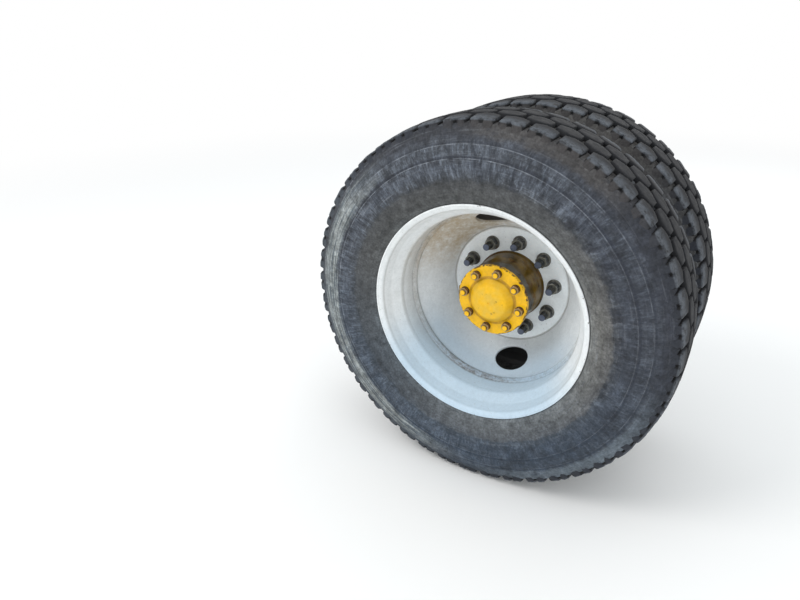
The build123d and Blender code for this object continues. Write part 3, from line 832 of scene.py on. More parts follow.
def yellow_material():
    """Yellow paint: bright on the flange, dull and dusty on the dome, broken at its edges."""
    tints = bpy.context.scene.wheel_end_colours
    sizes = bpy.context.scene.wheel_end_hub
    tree = Finish("yellow_paint", tints.yellow)
    radius, _, depth = tree.group("Wheel Polar").outputs
    dome = tree.fade(radius, sizes.dome_radius + 0.001, sizes.dome_radius - 0.006)
    dusted = tree.group("Dust Coat", Color=tints.yellow, Dust_Color=tints.yellow_dust,
                        Amount=0.9, Scale=30.0).outputs["Color"]
    tree.coat(dusted, dome, 0.9)

    # Worn brown patches on the dome's top, and dirt at its foot
    top = tree.fade(radius, sizes.dome_top, sizes.dome_top - 0.016)
    tree.coat(linear(136, 96, 34), top, tree.patches(52.0, 0.36, 0.12), 0.6)
    foot = tree.ring(radius, sizes.dome_radius - 0.004, sizes.dome_radius + 0.0045, 0.004)
    tree.coat(linear(150, 106, 24), foot, tree.patches(60.0, 0.60, 0.3), 0.7)

    # Chips at the flange's edge, scuffs, and a dark seam where it meets the hub
    rim = tree.fade(radius, sizes.flange_radius - 0.0045, sizes.flange_radius - 0.0012)
    chipped = tree.math("MAXIMUM", tree.times(rim, tree.patches(80.0, 0.48, 0.06)),
                        tree.times(tree.patches(95.0, 0.25, 0.05), 0.8))
    tree.coat(linear(78, 50, 22), chipped)
    tree.coat(linear(52, 38, 18), tree.fade(depth, HUB_END_Y - 0.004, HUB_END_Y - 0.001))

    # Brown threads where the studs leave their nuts
    nut_top = HUB_END_Y - sizes.flange_wall - bpy.context.scene.wheel_end_nuts.flange_height
    on_studs = tree.fade(radius, sizes.dome_radius + 0.002, sizes.dome_radius + 0.005)
    tree.coat(linear(88, 58, 26), tree.ring(depth, nut_top - 0.0050, nut_top + 0.0050, 0.001),
              on_studs, 0.85)
    tree.mottle((14.0, 0.12), (120.0, 0.22))
    tree.close(tree.math("ADD", tree.times(dome, 0.25), 0.32), tree.grain(150.0, 30.0, 0.6),
               0.0009, 0.5, Specular_IOR_Level=0.4)


def steel_material(name, tint, rust, rust_cover, metallic, bare=0.62, bands=()):
    """Oxidised steel with dust and rust in patches, rubbed bare here and there.

    Bands are places along the axle that are rubbed, painted, or lit by a painted highlight: from,
    to, colour and share."""
    tree = Finish(name, tint)
    rusted = tree.patches(85.0, rust_cover, 0.2)
    tree.coat(rust, rusted)
    tree.coat(linear(150, 150, 148), tree.patches(140.0, 0.34, 0.12), bare)
    depth = tree.group("Wheel Polar").outputs["Depth"]
    for low, high, shown, share in bands:
        tree.coat(linear(*shown), tree.ring(depth, low, high, 0.0008), share)
    tree.mottle((210.0, 0.4))
    tree.close(tree.fade(rusted, 0.0, 1.0, 0.34, 0.7), tree.grain(600.0, 120.0, 0.6),
               0.0004, 0.5, Metallic=tree.fade(rusted, 0.0, 1.0, metallic, 0.1))


def black_material(name, tint, dust_amount, roughness):
    """Black chassis paint under dust, rusty where it has flaked."""
    tree = Finish(name)
    dusted = tree.group("Dust Coat", Color=tint, Dust_Color=linear(122, 112, 98),
                        Amount=dust_amount, Scale=9.0).outputs
    tree.base = dusted["Color"]
    tree.coat(linear(96, 62, 42), tree.patches(44.0, 0.34, 0.06), 0.8)
    tree.mottle((16.0, 0.2))
    tree.close(tree.fade(dusted["Mask"], 0.0, 1.0, roughness, 0.9), tree.grain(240.0, 50.0, 0.8),
               0.0009, 0.5)


def wheel_nut_bands():
    """Rubbed washers, nut tops with a painted highlight, and stud ends: from, to, colour and
    share.
    """
    nuts = bpy.context.scene.wheel_end_nuts
    face = TWIN_Y - bpy.context.scene.wheel_end_wheel.disc_wall
    top = face - nuts.washer_height - nuts.wheel_height
    tip = face - nuts.wheel_stand
    return (
        (face - nuts.washer_height, face, (132, 130, 122), 0.55),
        # rubbed nut tops with a painted highlight
        (top - 0.0005, top + 0.0016, (150, 148, 136), 0.50),
        (tip - 0.001, tip + 0.0016, (98, 108, 130), 0.60),
    )


def flange_nut_bands():
    """Dark washers, and nut tops with a painted highlight, on the shaft's flange: from, to, colour
    and share.
    """
    face = HUB_END_Y - bpy.context.scene.wheel_end_hub.flange_wall
    top = face - bpy.context.scene.wheel_end_nuts.flange_height
    return (
        (face - 0.0040, face, (58, 36, 16), 0.8),
        # pale nut tops: a painted highlight
        (top - 0.0005, top + 0.0016, (184, 158, 112), 0.6),
    )


def make_materials():
    """All the finishes, by the record's slot names, with the tread beside the rubber."""
    tints = bpy.context.scene.wheel_end_colours
    rubber_material()
    tread_material()
    white_material()
    casting_material()
    yellow_material()
    steel_material("dark_steel", tints.dark_steel, linear(74, 64, 46), 0.42, 0.55,
                   bands=wheel_nut_bands())
    steel_material("rusty_steel", tints.brown_steel, linear(70, 42, 22), 0.5, 0.25, bare=0.4,
                   bands=flange_nut_bands())
    steel_material("drum_iron", tints.iron, linear(98, 62, 40), 0.62, 0.35, bare=0.1)
    steel_material("valve_brass", linear(150, 130, 82), linear(96, 84, 60), 0.4, 0.85)
    black_material("axle_black", tints.black, 0.75, 0.5)
    black_material("shield_zinc", tints.black, 0.95, 0.6)


# Pieces

# Moulded rings of a flank: radius, height and half width
FLANK_RINGS = (
    (0.3375, 0.0009, 0.0022), (0.3425, 0.0006, 0.0018), (0.4450, 0.0008, 0.0016),
    (0.4490, -0.0012, 0.0022), (0.4800, 0.0009, 0.0020), (0.5005, 0.0011, 0.0018),
)

# Rows of blocks, from the tyre's outboard side: middle across the tyre, half width, stagger
# in pitches, and whether the side away from the middle is the shoulder
BLOCK_ROWS = (
    (-0.0868, 0.0284, 0.00, True),
    (-0.0285, 0.0272, 0.42, False),
    (0.0285, 0.0272, -0.08, False),
    (0.0868, 0.0284, 0.38, True),
)

# Levels of a block's rounded top, from its side up: how far in, and how far below the top
SHOULDER_LEVELS = ((-0.0008, 0.0060), (0.0, 0.0031), (0.0017, 0.0011), (0.0046, 0.0002),
                   (0.0120, 0.0))
MIDDLE_LEVELS = ((-0.0006, 0.0042), (0.0, 0.0018), (0.0008, 0.0006), (0.0020, 0.0), (0.0100, 0.0))
SHOULDER_FOOT = 0.5110  # radius at which a shoulder block's side dies out in the sidewall
SHOULDER_LEAN = 0.0064  # how much further out its foot stands than its top
MIDDLE_FOOT = 0.0060  # how deep a middle block stands in the carcass
FOOT_SPREAD = 0.0022  # how much wider a block is at its foot


def crown_radius(tyre, across):
    """Radius of the tread's surface at a distance from the tyre's middle."""
    return tyre.tread_radius - tyre.crown_drop * abs(across / tyre.half_tread) ** 3


def tyre_side(tyre, wheel):
    """Half of the tyre's section, from its middle out to the bead's toe, then to the middle."""
    base = tyre.tread_radius - tyre.groove_depth
    outside = rounded_line([
        (base, 0.0, 0), (base - 0.003, 0.098, 0.060), (0.5290, 0.1140, 0.008),
        (0.5140, 0.1226, 0.030), (0.5040, 0.1280, 0.060), (0.4790, 0.1362, 0.120),
        (0.4350, tyre.half_section, 0.160),
        (0.3850, 0.1360, 0.160), (0.3500, 0.1272, 0.090), (0.3340, 0.1195, 0.030),
        (wheel.lip_radius + 0.0012, 0.1135, 0.004), (wheel.lip_radius + 0.0008, 0.1090, 0),
    ], turn=radians(3.2))
    return with_rings(outside, FLANK_RINGS)


def with_rings(line, rings, step=0.0075, near_step=0.0018):
    """The line in short steps, with moulded rings and grooves: (radius, height, half width)."""
    finer = [line[0]]
    for point in line[1:]:
        gap = point - finer[-1]
        near = any(abs(point.x - radius) < 3 * half + 0.004 for radius, _, half in rings)
        pieces = ceil(gap.length / (near_step if near and gap.x < 0 else step))
        finer += [finer[-1] + gap * (part + 1) / pieces for part in range(pieces)]
    raised = []
    for point, normal in zip(finer, normals_along(finer)):
        swell = sum(height * exp(-(((point.x - radius) / half) ** 2))
                    for radius, height, half in rings)
        raised.append(point - normal * swell)
    return raised


def make_tyre_body(name, centre_y, place):
    """Carcass: sidewalls, shoulders and the floor of the grooves."""
    scene = bpy.context.scene
    wheel = scene.wheel_end_wheel
    seat = [Vector((wheel.seat_radius + away, across))
            for away, across in ((0.0006, 0.1040), (-0.0072, 0.0760), (0.020, 0.0700))]
    right = tyre_side(scene.wheel_end_tyre, wheel) + seat
    left = [Vector((point.x, -point.y)) for point in reversed(right)]
    shape = Shape()
    shape.turn([Vector((point.x, centre_y + point.y)) for point in left[:-1] + right], place=place)
    return shape.made(name, sharp=50)


def block_outline(long, half, shoulder, chance):
    """Top of one block: along the tread, then across it, with worn corners.

    A shoulder block ends in two lumpy lobes with a notch between them."""

    def jitter(size):
        return chance.uniform(-size, size)

    flank, corner = 0.60 * half, 0.16 * long
    inner = [(-long / 2, -flank), (-corner, -half), (corner, -half), (long / 2, -flank)]
    if not shoulder:
        outer = [(long / 2, flank), (corner, half), (-corner, half), (-long / 2, flank)]
        return [(s + jitter(0.0006), w + jitter(0.0006)) for s, w in inner + outer]
    notch = jitter(0.06) * long
    wide, deep = chance.uniform(0.0038, 0.0056), chance.uniform(0.0050, 0.0095)
    outer = [(0.49 * long, half - 0.0052), (0.42 * long, half - 0.0012)]
    outer += [(notch + share * wide, half - fall * deep)
              for share, fall in ((3.6, 0.0), (1.9, 0.05), (0.9, 0.55), (0.0, 1.0),
                                  (-0.8, 0.60), (-1.8, 0.08), (-3.6, 0.0))]
    outer += [(-0.42 * long, half - 0.0012), (-0.49 * long, half - 0.0052)]
    return [(s + jitter(0.0005), w + jitter(0.0010)) for s, w in inner + outer]


def inset(outline, amount):
    """Outline pulled in by about that amount, for a rounded edge."""
    middle_s = sum(s for s, _ in outline) / len(outline)
    middle_w = sum(w for _, w in outline) / len(outline)
    half_s = max(abs(s - middle_s) for s, _ in outline)
    half_w = max(abs(w - middle_w) for _, w in outline)
    return [(middle_s + (s - middle_s) * (1 - amount / half_s),
             middle_w + (w - middle_w) * (1 - amount / half_w)) for s, w in outline]


def block_rows(tyre, long, middle, half, shoulder, chance):
    """Rows of one block's points, foot first: along the tread, across the tyre and radius."""
    outward = -1 if shoulder and middle < 0 else 1
    top = block_outline(long, half, shoulder, chance)
    wear = chance.uniform(0.0004, 0.0012)
    lumps = [chance.uniform(-0.0009, 0.0009) if shoulder and w > 0 else 0.0 for _, w in top]
    if shoulder:
        foot = [(s, w if w < half / 2 else half - 0.9 * (half - w)) for s, w in top]
        floor, lean, levels = SHOULDER_FOOT, SHOULDER_LEAN, SHOULDER_LEVELS
    else:
        foot = top
        floor, lean = tyre.tread_radius - tyre.groove_depth - MIDDLE_FOOT, 0.0
        levels = MIDDLE_LEVELS
    rows = [[(s, middle + outward * (w + (lean if w > 0 else 0.0)), floor)
             for s, w in inset(foot, -FOOT_SPREAD)]]
    for amount, drop in levels:
        row = []
        for (s, w), lump in zip(inset(top, amount), lumps):
            across = middle + outward * w
            row.append((s, across, crown_radius(tyre, across) - wear - drop + lump))
        rows.append(row)
    return rows


def make_tread_blocks(name, centre_y, seed, place):
    """All the tread blocks of one tyre, each a worn prism that stands in the carcass."""
    tyre = bpy.context.scene.wheel_end_tyre
    chance = Random(seed)
    shape = Shape()
    pitch = 360 / tyre.pitches
    long = 2 * pi * tyre.tread_radius / tyre.pitches - tyre.groove
    for middle, half, stagger, shoulder in BLOCK_ROWS:
        for count in range(tyre.pitches):
            start = (count + stagger) * pitch
            shape.skin([
                [about_axle(radius, start + degrees(s / tyre.tread_radius), centre_y + across)
                 for s, across, radius in row]
                for row in block_rows(tyre, long, middle, half, shoulder, chance)
            ], place=place)
    return shape.made(name, sharp=38)


def rim_section(sizes):
    """Outline of the rolled rim, from its open lip, as radius and distance from that lip."""
    lip, seat, well = sizes.lip_radius, sizes.seat_radius, sizes.well_radius
    far = sizes.rim_length
    foot = seat - 0.00884
    line = rounded_line([
        (lip - 0.0006, 0.0, 0), (lip, 0.0052, 0.0035), (seat + 0.0004, 0.0122, 0.0075),
        (foot, 0.0457, 0.030), (well, 0.0797, 0.022), (well, far - 0.0697, 0.022),
        (foot, far - 0.0457, 0.026), (seat + 0.0004, far - 0.0122, 0.0075),
        (lip, far - 0.0052, 0.0035), (lip - 0.0006, far, 0),
    ], turn=radians(7))
    return plate_outline(line, -sizes.rim_wall, edge=0.0018)


def make_rim(name, place):
    """Rolled rim, the same outline turned once round the axle."""
    section = rim_section(bpy.context.scene.wheel_end_wheel)
    shape = Shape()
    shape.turn([Vector((point.x, DISH_Y + point.y)) for point in section], place=place)
    return shape.made(name)


def disc_line(sizes):
    """Face of the disc that shows in the dish, from the pilot hole out to the skirt's edge."""
    pad_y = TWIN_Y - sizes.disc_wall
    skirt = sizes.well_radius - sizes.rim_wall - 0.0002 - sizes.disc_wall
    return rounded_line([
        (sizes.pilot_radius + 0.0002, pad_y, 0), (sizes.pad_radius - 0.0075, pad_y, 0.006),
        (sizes.pad_radius - 0.0020, pad_y - 0.0016, 0.003),
        (sizes.pad_radius + 0.0022, pad_y + 0.0022, 0.003),
        (sizes.pad_radius + 0.0060, pad_y - 0.0030, 0.006), (0.2705, DISH_Y + 0.1598, 0.030),
        (skirt, DISH_Y + 0.1528, 0.008), (skirt, DISH_Y + 0.1453, 0),
    ], turn=radians(7))


# Window left in the disc's rings of faces for each hand hole, and its rows of faces
WINDOW_HALF = 19  # half its width, in whole columns of one degree
WINDOW_LOW, WINDOW_HIGH = 0.1945, 0.2630
WINDOW_ROWS = 8
WINDOW_RADII = [WINDOW_LOW + (WINDOW_HIGH - WINDOW_LOW) * row / WINDOW_ROWS
                for row in range(WINDOW_ROWS + 1)]
COLUMNS = 360
HOLE_EDGE = 0.0022  # radius of the rounded edge of a hand hole


class Plate:
    """The disc's plate, given by the line of its face in the dish."""

    def __init__(self, line, wall):
        self.line = line
        self.normals = normals_along(line)
        self.wall = wall

    def spot(self, radius, depth):
        """Point of the section, by its radius on the dish face and how deep it lies."""
        line, normals = self.line, self.normals
        index = 0
        while index < len(line) - 2 and line[index + 1].x < radius:
            index += 1
        run = line[index + 1].x - line[index].x
        share = (radius - line[index].x) / run if abs(run) > 1e-9 else 0.0
        normal = normals[index].lerp(normals[index + 1], share).normalized()
        return line[index].lerp(line[index + 1], share) - normal * depth

    def rows(self):
        """Points and normals across the face, and the first row inside the window."""
        radii = [point.x for point in self.line]
        start = max(index for index, radius in enumerate(radii) if radius < WINDOW_LOW)
        stop = min(index for index, radius in enumerate(radii) if radius > WINDOW_HIGH)
        every = list(zip(self.line, self.normals))
        window = []
        for radius in WINDOW_RADII:
            face = self.spot(radius, 0.0)
            window.append((face, (face - self.spot(radius, 0.001)).normalized()))
        return every[:start + 1] + window + every[stop:], start + 1

    def add_rings(self, shape, place, holes):
        """Both faces and the two edges of the plate, in rings with the windows left out."""
        rows, first = self.rows()
        points, faces = [], []
        for depth in (0.0, self.wall):
            for point, normal in rows:
                moved = point - normal * depth
                points += [about_axle(moved.x, step, moved.y) for step in range(COLUMNS)]
        joined = []
        for layer in (0, len(rows)):
            for row in range(len(rows) - 1):
                for step in range(COLUMNS):
                    hole = any(abs((step + 0.5 - middle + 180) % 360 - 180) < WINDOW_HALF
                               for middle in holes)
                    if not (hole and first <= row < first + WINDOW_ROWS):
                        joined.append((layer + row, layer + row + 1, step))
        for row in (0, len(rows) - 1):
            joined += [(row, len(rows) + row, step) for step in range(COLUMNS)]
        for low, high, step in joined:
            after = (step + 1) % COLUMNS
            faces.append((low * COLUMNS + step, low * COLUMNS + after,
                          high * COLUMNS + after, high * COLUMNS + step))
        shape.add(points, faces, place)

    def add_hole(self, shape, place, hole, sizes):
        """Rings of faces from a window's edge to its hole, through it and out at the back."""
        around = (
            [(angle, WINDOW_LOW) for angle in range(-WINDOW_HALF, WINDOW_HALF)]
            + [(WINDOW_HALF, radius) for radius in WINDOW_RADII[:-1]]
            + [(angle, WINDOW_HIGH) for angle in range(WINDOW_HALF, -WINDOW_HALF, -1)]
            + [(-WINDOW_HALF, radius) for radius in WINDOW_RADII[:0:-1]]
        )
        rings = []
        for share in (0.0, 0.3, 0.6, 0.85):
            ring = []
            for angle, radius in around:
                near, near_radius = hole_edge(sizes, angle, radius, HOLE_EDGE)
                ring.append((angle + (near - angle) * share,
                             radius + (near_radius - radius) * share, 0.0))
            rings.append(ring)
        for turn in (0, 30, 60, 90):
            grow = HOLE_EDGE * (1 - sin(radians(turn)))
            depth = HOLE_EDGE * (1 - cos(radians(turn)))
            rings.append([(*hole_edge(sizes, angle, radius, grow), depth)
                          for angle, radius in around])
        rings += [[(angle, radius, self.wall - depth) for angle, radius, depth in ring]
                  for ring in reversed(rings)]
        rows = []
        for ring in rings:
            spots = [(self.spot(radius, depth), hole + angle) for angle, radius, depth in ring]
            rows.append([about_axle(spot.x, angle, spot.y) for spot, angle in spots])
        shape.skin(rows, place=place, cap_start=False, cap_end=False)


def hole_edge(sizes, angle, radius, grow):
    """Point of a hand hole's edge, let out by grow, that lies in the same direction from its
    middle: angle from that middle and radius."""
    middle, tall, wide = sizes.hole_distance, sizes.hole_height / 2, sizes.hole_width / 2
    across = middle * radians(angle) / wide
    along = (radius - middle) / tall
    reach = sqrt(across ** 2 + along ** 2)
    return (degrees(across / reach * (wide + grow) / middle),
            middle + along / reach * (tall + grow))


def make_disc(name, place):
    """Disc with its two hand holes, each a set of rings that blends into the plate."""
    sizes = bpy.context.scene.wheel_end_wheel
    plate = Plate(disc_line(sizes), sizes.disc_wall)
    holes = (sizes.hole_angle, sizes.hole_angle + 180)
    shape = Shape()
    plate.add_rings(shape, place, holes)
    for hole in holes:
        plate.add_hole(shape, place, hole, sizes)
    return shape.made(name, merge=4e-5)


def make_weld(name, place):
    """Bead that joins the disc's skirt to the rim's well, with its ripples."""
    sizes = bpy.context.scene.wheel_end_wheel
    middle = Vector((sizes.well_radius - sizes.rim_wall - 0.0010, DISH_Y + 0.1450))
    size, ripple, sway = 0.0038, 0.0004, 0.0003
    steps, around = 720, 8
    rows = []
    for step in range(steps + 1):
        turn = 2 * pi * step / steps
        bead = size + ripple * sin(turn * 90) + sway * sin(turn * 13)
        row = []
        for part in range(around):
            lean = 2 * pi * part / around
            row.append(about_axle(middle.x + bead * cos(lean) * 0.62, degrees(turn),
                                  middle.y + bead * sin(lean) * 0.9))
        rows.append(row)
    shape = Shape()
    shape.skin(rows, place, cap_start=False, cap_end=False)
    return shape.made(name, sharp=60, merge=1e-6)


def hexagon_nut(shape, place, flats, height, bore, foot=0.0):
    """Nut that stands along -Y from its foot, its corners cut back by a cone."""
    half, around = flats / 2, 72
    chamfer, slope = 0.955 * half, tan(radians(32))
    widest = 0.985 * half / cos(radians(30))
    top = foot + height
    angles = [360 * step / around for step in range(around)]
    walls = [min(half / cos(radians(angle % 60 - 30)), widest) for angle in angles]

    def ring(radii, depths):
        return [about_axle(radius, angle, -depth)
                for radius, angle, depth in zip(radii, angles, depths)]

    def level(radius, depth):
        return ring([radius] * around, [depth] * around)

    shape.skin([
        level(bore, foot),
        ring([min(wall, half * 1.03) for wall in walls], [foot] * around),
        ring(walls, [foot + 0.0008 + (wall - half) * 0.45 for wall in walls]),
        ring(walls, [top - max(0.0, wall - chamfer) * slope for wall in walls]),
        level(chamfer, top), level(bore + 0.0012, top), level(bore, top - 0.0012),
    ], place, cap_start=False, cap_end=False)


def washer(shape, place, foot_radius, top_radius, height, bore):
    """Coned washer, standing along -Y."""
    shape.turn(rounded_line([
        (bore, 0.0, 0), (foot_radius, 0.0, 0), (foot_radius, -0.0022, 0.0007),
        (top_radius, -height, 0.0008), (bore, -height, 0),
    ], turn=radians(30)), ring=48, place=place)


def threaded_stud(shape, place, radius, start, stand, thread, chamfer):
    """Stud along -Y with a helical thread over its last stretch."""
    around = 24
    pitch = 0.0015 if radius > 0.01 else 0.00125
    rows_a_pitch = 4

    def ring(y, radii):
        return [about_axle(radii[step], 360 * step / around, -y) for step in range(around)]

    rows = [ring(start, [radius] * around)]
    count = int(thread / pitch * rows_a_pitch)
    for row in range(count + 1):
        waves = [(row / rows_a_pitch - step / around) % 1.0 for step in range(around)]
        dips = [pitch * 0.55 * (1 - abs(2 * wave - 1)) for wave in waves]
        rows.append(ring(stand - thread + (thread - chamfer) * row / count,
                         [radius - dip for dip in dips]))
    tip = radius - chamfer * 0.8
    rows += [ring(stand, [tip] * around), ring(stand, [tip * 0.9] * around)]
    shape.skin(rows, place)


def spots_on_circle(radius, count, first, y):
    """Places on a circle about the axle, each turned to face out along its own radius."""
    for step in range(count):
        angle = first - 360 * step / count
        yield Matrix.Translation(about_axle(radius, angle, y)) @ turned_round(angle)


# Operators, one for each piece or group of like pieces


class WHEELEND_OT_materials(bpy.types.Operator):
    """Make the shared node groups and every finish"""

    bl_idname = "wheel_end.materials"
    bl_label = "Finishes"

    def execute(self, context):
        for maker in GROUP_MAKERS:
            maker()
        make_materials()
        return {"FINISHED"}


class WHEELEND_OT_tyres(bpy.types.Operator):
    """Build both tyres, each a carcass with its tread blocks"""

    bl_idname = "wheel_end.tyres"
    bl_label = "Tyres"

    def execute(self, context):
        for side, place, seed in (("outer", None, 7), ("inner", MIRROR, 19)):
            body = make_tyre_body(f"{side}_tyre_carcass", TYRE_Y, place)
            finish_piece(body, "wheel", "tyre_rubber", f"{side}_tyre")
            blocks = make_tread_blocks(f"{side}_tyre_tread", TYRE_Y, seed, place)
            finish_piece(blocks, "wheel", "tyre_rubber", f"{side}_tyre", finish="tyre_tread")
        return {"FINISHED"}


class WHEELEND_OT_wheels(bpy.types.Operator):
    """Build both rims and discs with the welds between them"""

    bl_idname = "wheel_end.wheels"
    bl_label = "Rims and Discs"

    def execute(self, context):
        for side, place in (("outer", None), ("inner", MIRROR)):
            for make, name, node in ((make_rim, "rim_strip", "rim"),
                                     (make_disc, "disc_plate", "disc"),
                                     (make_weld, "disc_weld", "disc")):
                piece = make(f"{side}_{name}", place)
                finish_piece(piece, "wheel", "white_wheel", f"{side}_{node}")
        return {"FINISHED"}


def hub_flat(point, sizes):
    """Point of the barrel, drawn in to the machined flats between the flange studs."""
    reach, depth, smallest = 0.066, 0.0062, 0.098
    x, y, z = point
    radius, along = sqrt(x * x + z * z), (y - HUB_END_Y) / reach
    if radius < smallest or not 0.0 <= along < 1.0:
        return point
    between = 360 / FLANGE_STUDS
    angle = (degrees(atan2(z, x)) - sizes.cap_angle) % between - between / 2
    flat = (sizes.barrel_radius - depth * (1 - along ** 2)) / cos(radians(angle))
    share = min(1.0, flat / radius)
    return x * share, y, z * share


class WHEELEND_OT_hub(bpy.types.Operator):
    """Build the hub's casting"""

    bl_idname = "wheel_end.hub"
    bl_label = "Hub"

    def execute(self, context):
        sizes = context.scene.wheel_end_hub
        bore, tail, flange, flange_wall = 0.0502, 0.096, 0.1618, 0.020
        barrel, end = sizes.barrel_radius, HUB_END_Y + 0.0004
        shoulder, lip = barrel + 0.0043, barrel - 0.0016
        face = DRUM_Y + context.scene.wheel_end_drum.face_wall
        outline = rounded_line([
            (bore, HUB_TAIL_Y, 0), (tail, HUB_TAIL_Y, 0.003), (tail, face + flange_wall, 0.006),
            (flange, face + flange_wall, 0.002), (flange, face, 0.002), (shoulder, face, 0),
            (shoulder, TWIN_Y - 0.0135, 0.002), (barrel + 0.0005, TWIN_Y - 0.0185, 0.004),
            (barrel, HUB_END_Y + 0.040, 0.010), (lip, HUB_END_Y + 0.036, 0.002),
            (lip, HUB_END_Y + 0.0030, 0.0012), (lip - 0.0016, end, 0.001), (bore, end, 0),
        ], turn=radians(15))
        shape = Shape()
        shape.turn(with_rings(outline, (), step=0.006), ring=216)
        shape.points = [hub_flat(point, sizes) for point in shape.points]
        finish_piece(shape.made("hub_casting"), "wheel", "oily_casting", "hub")
        return {"FINISHED"}


def make_shaft_bar(name, sizes):
    """Bar of the axle shaft, with its spline at the inboard end."""
    teeth, tip, root, spline = 33, 0.0254, 0.0238, 0.064
    start, foot = HUB_END_Y + 0.001, SHAFT_END_Y - spline
    bar = Shape()
    bar.turn(rounded_line([
        (0.0, start, 0), (sizes.shaft_radius, start, 0), (sizes.shaft_radius, foot, 0),
        (root - 0.0006, foot + 0.004, 0), (0.0, foot + 0.004, 0),
    ]), ring=72)
    steps = teeth * 6
    profile = [(tip if step % 6 in (1, 2, 3) else root, 360 * step / steps)
               for step in range(steps)]
    bar.skin([
        [about_axle(radius - cut, angle, y) for radius, angle in profile]
        for y, cut in ((foot, 0.0016), (foot + 0.0016, 0.0), (SHAFT_END_Y - 0.002, 0.0),
                       (SHAFT_END_Y, 0.0022))
    ])
    return bar.made(name)


class WHEELEND_OT_shaft(bpy.types.Operator):
    """Build the axle shaft: its domed flange, its bar and the splined end"""

    bl_idname = "wheel_end.shaft"
    bl_label = "Axle Shaft"

    def execute(self, context):
        sizes = context.scene.wheel_end_hub
        face = HUB_END_Y - sizes.flange_wall
        top = face - sizes.dome_height
        crown = top - sizes.dome_crown
        dimple, dimple_depth = 0.0040, 0.0026
        shape = Shape()
        shape.turn(rounded_line([
            (0.0, crown + dimple_depth, 0), (dimple * 0.6, crown + dimple_depth - 0.0002, 0.001),
            (dimple, crown + 0.0001, 0.0008),
            (0.024, top - sizes.dome_crown * 0.86, 0.040), (sizes.dome_top, top, 0.014),
            (sizes.dome_radius - 0.001, face, 0.0055), (sizes.flange_radius, face, 0.0022),
            (sizes.flange_radius, HUB_END_Y, 0.0012), (0.0, HUB_END_Y, 0),
        ], turn=radians(8)), ring=180)
        finish_piece(shape.made("shaft_flange"), "wheel", "yellow_paint", "axle_shaft")
        finish_piece(make_shaft_bar("shaft_bar", sizes), "wheel", "dark_steel", "axle_shaft")
        return {"FINISHED"}


class WHEELEND_OT_wheel_nuts(bpy.types.Operator):
    """Build the ten wheel studs with their nuts and washers"""

    bl_idname = "wheel_end.wheel_nuts"
    bl_label = "Wheel Studs and Nuts"

    def execute(self, context):
        hub, nuts = context.scene.wheel_end_hub, context.scene.wheel_end_nuts
        wall = context.scene.wheel_end_wheel.disc_wall
        chance = Random(5)
        head = Matrix.Translation((0, 0.0522, 0))  # stud's head, behind the hub's flange
        heads, studs = Shape(), Shape()
        for place in spots_on_circle(hub.stud_circle, WHEEL_STUDS, hub.stud_angle, TWIN_Y - wall):
            spin = Matrix.Rotation(radians(chance.uniform(0, 60)), 4, "Y")
            washer(heads, place, nuts.washer_radius, nuts.washer_radius - 0.004,
                   nuts.washer_height, nuts.wheel_stud + 0.0006)
            hexagon_nut(heads, place @ spin, nuts.wheel_flats, nuts.wheel_height,
                        nuts.wheel_stud + 0.0003, foot=nuts.washer_height)
            threaded_stud(studs, place @ spin, nuts.wheel_stud, start=-0.050,
                          stand=nuts.wheel_stand, thread=0.031, chamfer=0.0016)
            studs.turn([(0.0, -0.0100), (nuts.wheel_stud, -0.0100), (nuts.wheel_stud, -0.001),
                        (0.0150, -0.001), (0.0155, 0.001), (0.0150, 0.0048), (0.0, 0.0048)],
                       closed=False, ring=32, place=place @ head)
        finish_piece(heads.made("wheel_nuts_and_washers"), "wheel", "dark_steel", "wheel_nuts")
        finish_piece(studs.made("wheel_stud_threads"), "wheel", "dark_steel", "wheel_studs")
        return {"FINISHED"}


class WHEELEND_OT_flange_nuts(bpy.types.Operator):
    """Build the eight nuts and studs on the axle shaft's flange"""

    bl_idname = "wheel_end.flange_nuts"
    bl_label = "Flange Studs and Nuts"

    def execute(self, context):
        hub, nuts = context.scene.wheel_end_hub, context.scene.wheel_end_nuts
        chance = Random(11)
        washer_height = 0.003
        heads, studs = Shape(), Shape()
        face = HUB_END_Y - hub.flange_wall
        for place in spots_on_circle(hub.cap_circle, FLANGE_STUDS, hub.cap_angle, face):
            spin = Matrix.Rotation(radians(chance.uniform(0, 60)), 4, "Y")
            washer(heads, place, 0.0134, 0.0126, washer_height, nuts.flange_stud + 0.0006)
            hexagon_nut(heads, place @ spin, nuts.flange_flats,
                        nuts.flange_height - washer_height, nuts.flange_stud + 0.0003,
                        foot=washer_height)
            threaded_stud(studs, place @ spin, nuts.flange_stud, start=-0.040,
                          stand=nuts.flange_stand, thread=0.0105, chamfer=0.0012)
        finish_piece(heads.made("flange_nuts_and_washers"), "wheel", "rusty_steel",
                     "flange_nuts")
        finish_piece(studs.made("flange_stud_threads"), "wheel", "yellow_paint",
                     "flange_studs")
        return {"FINISHED"}


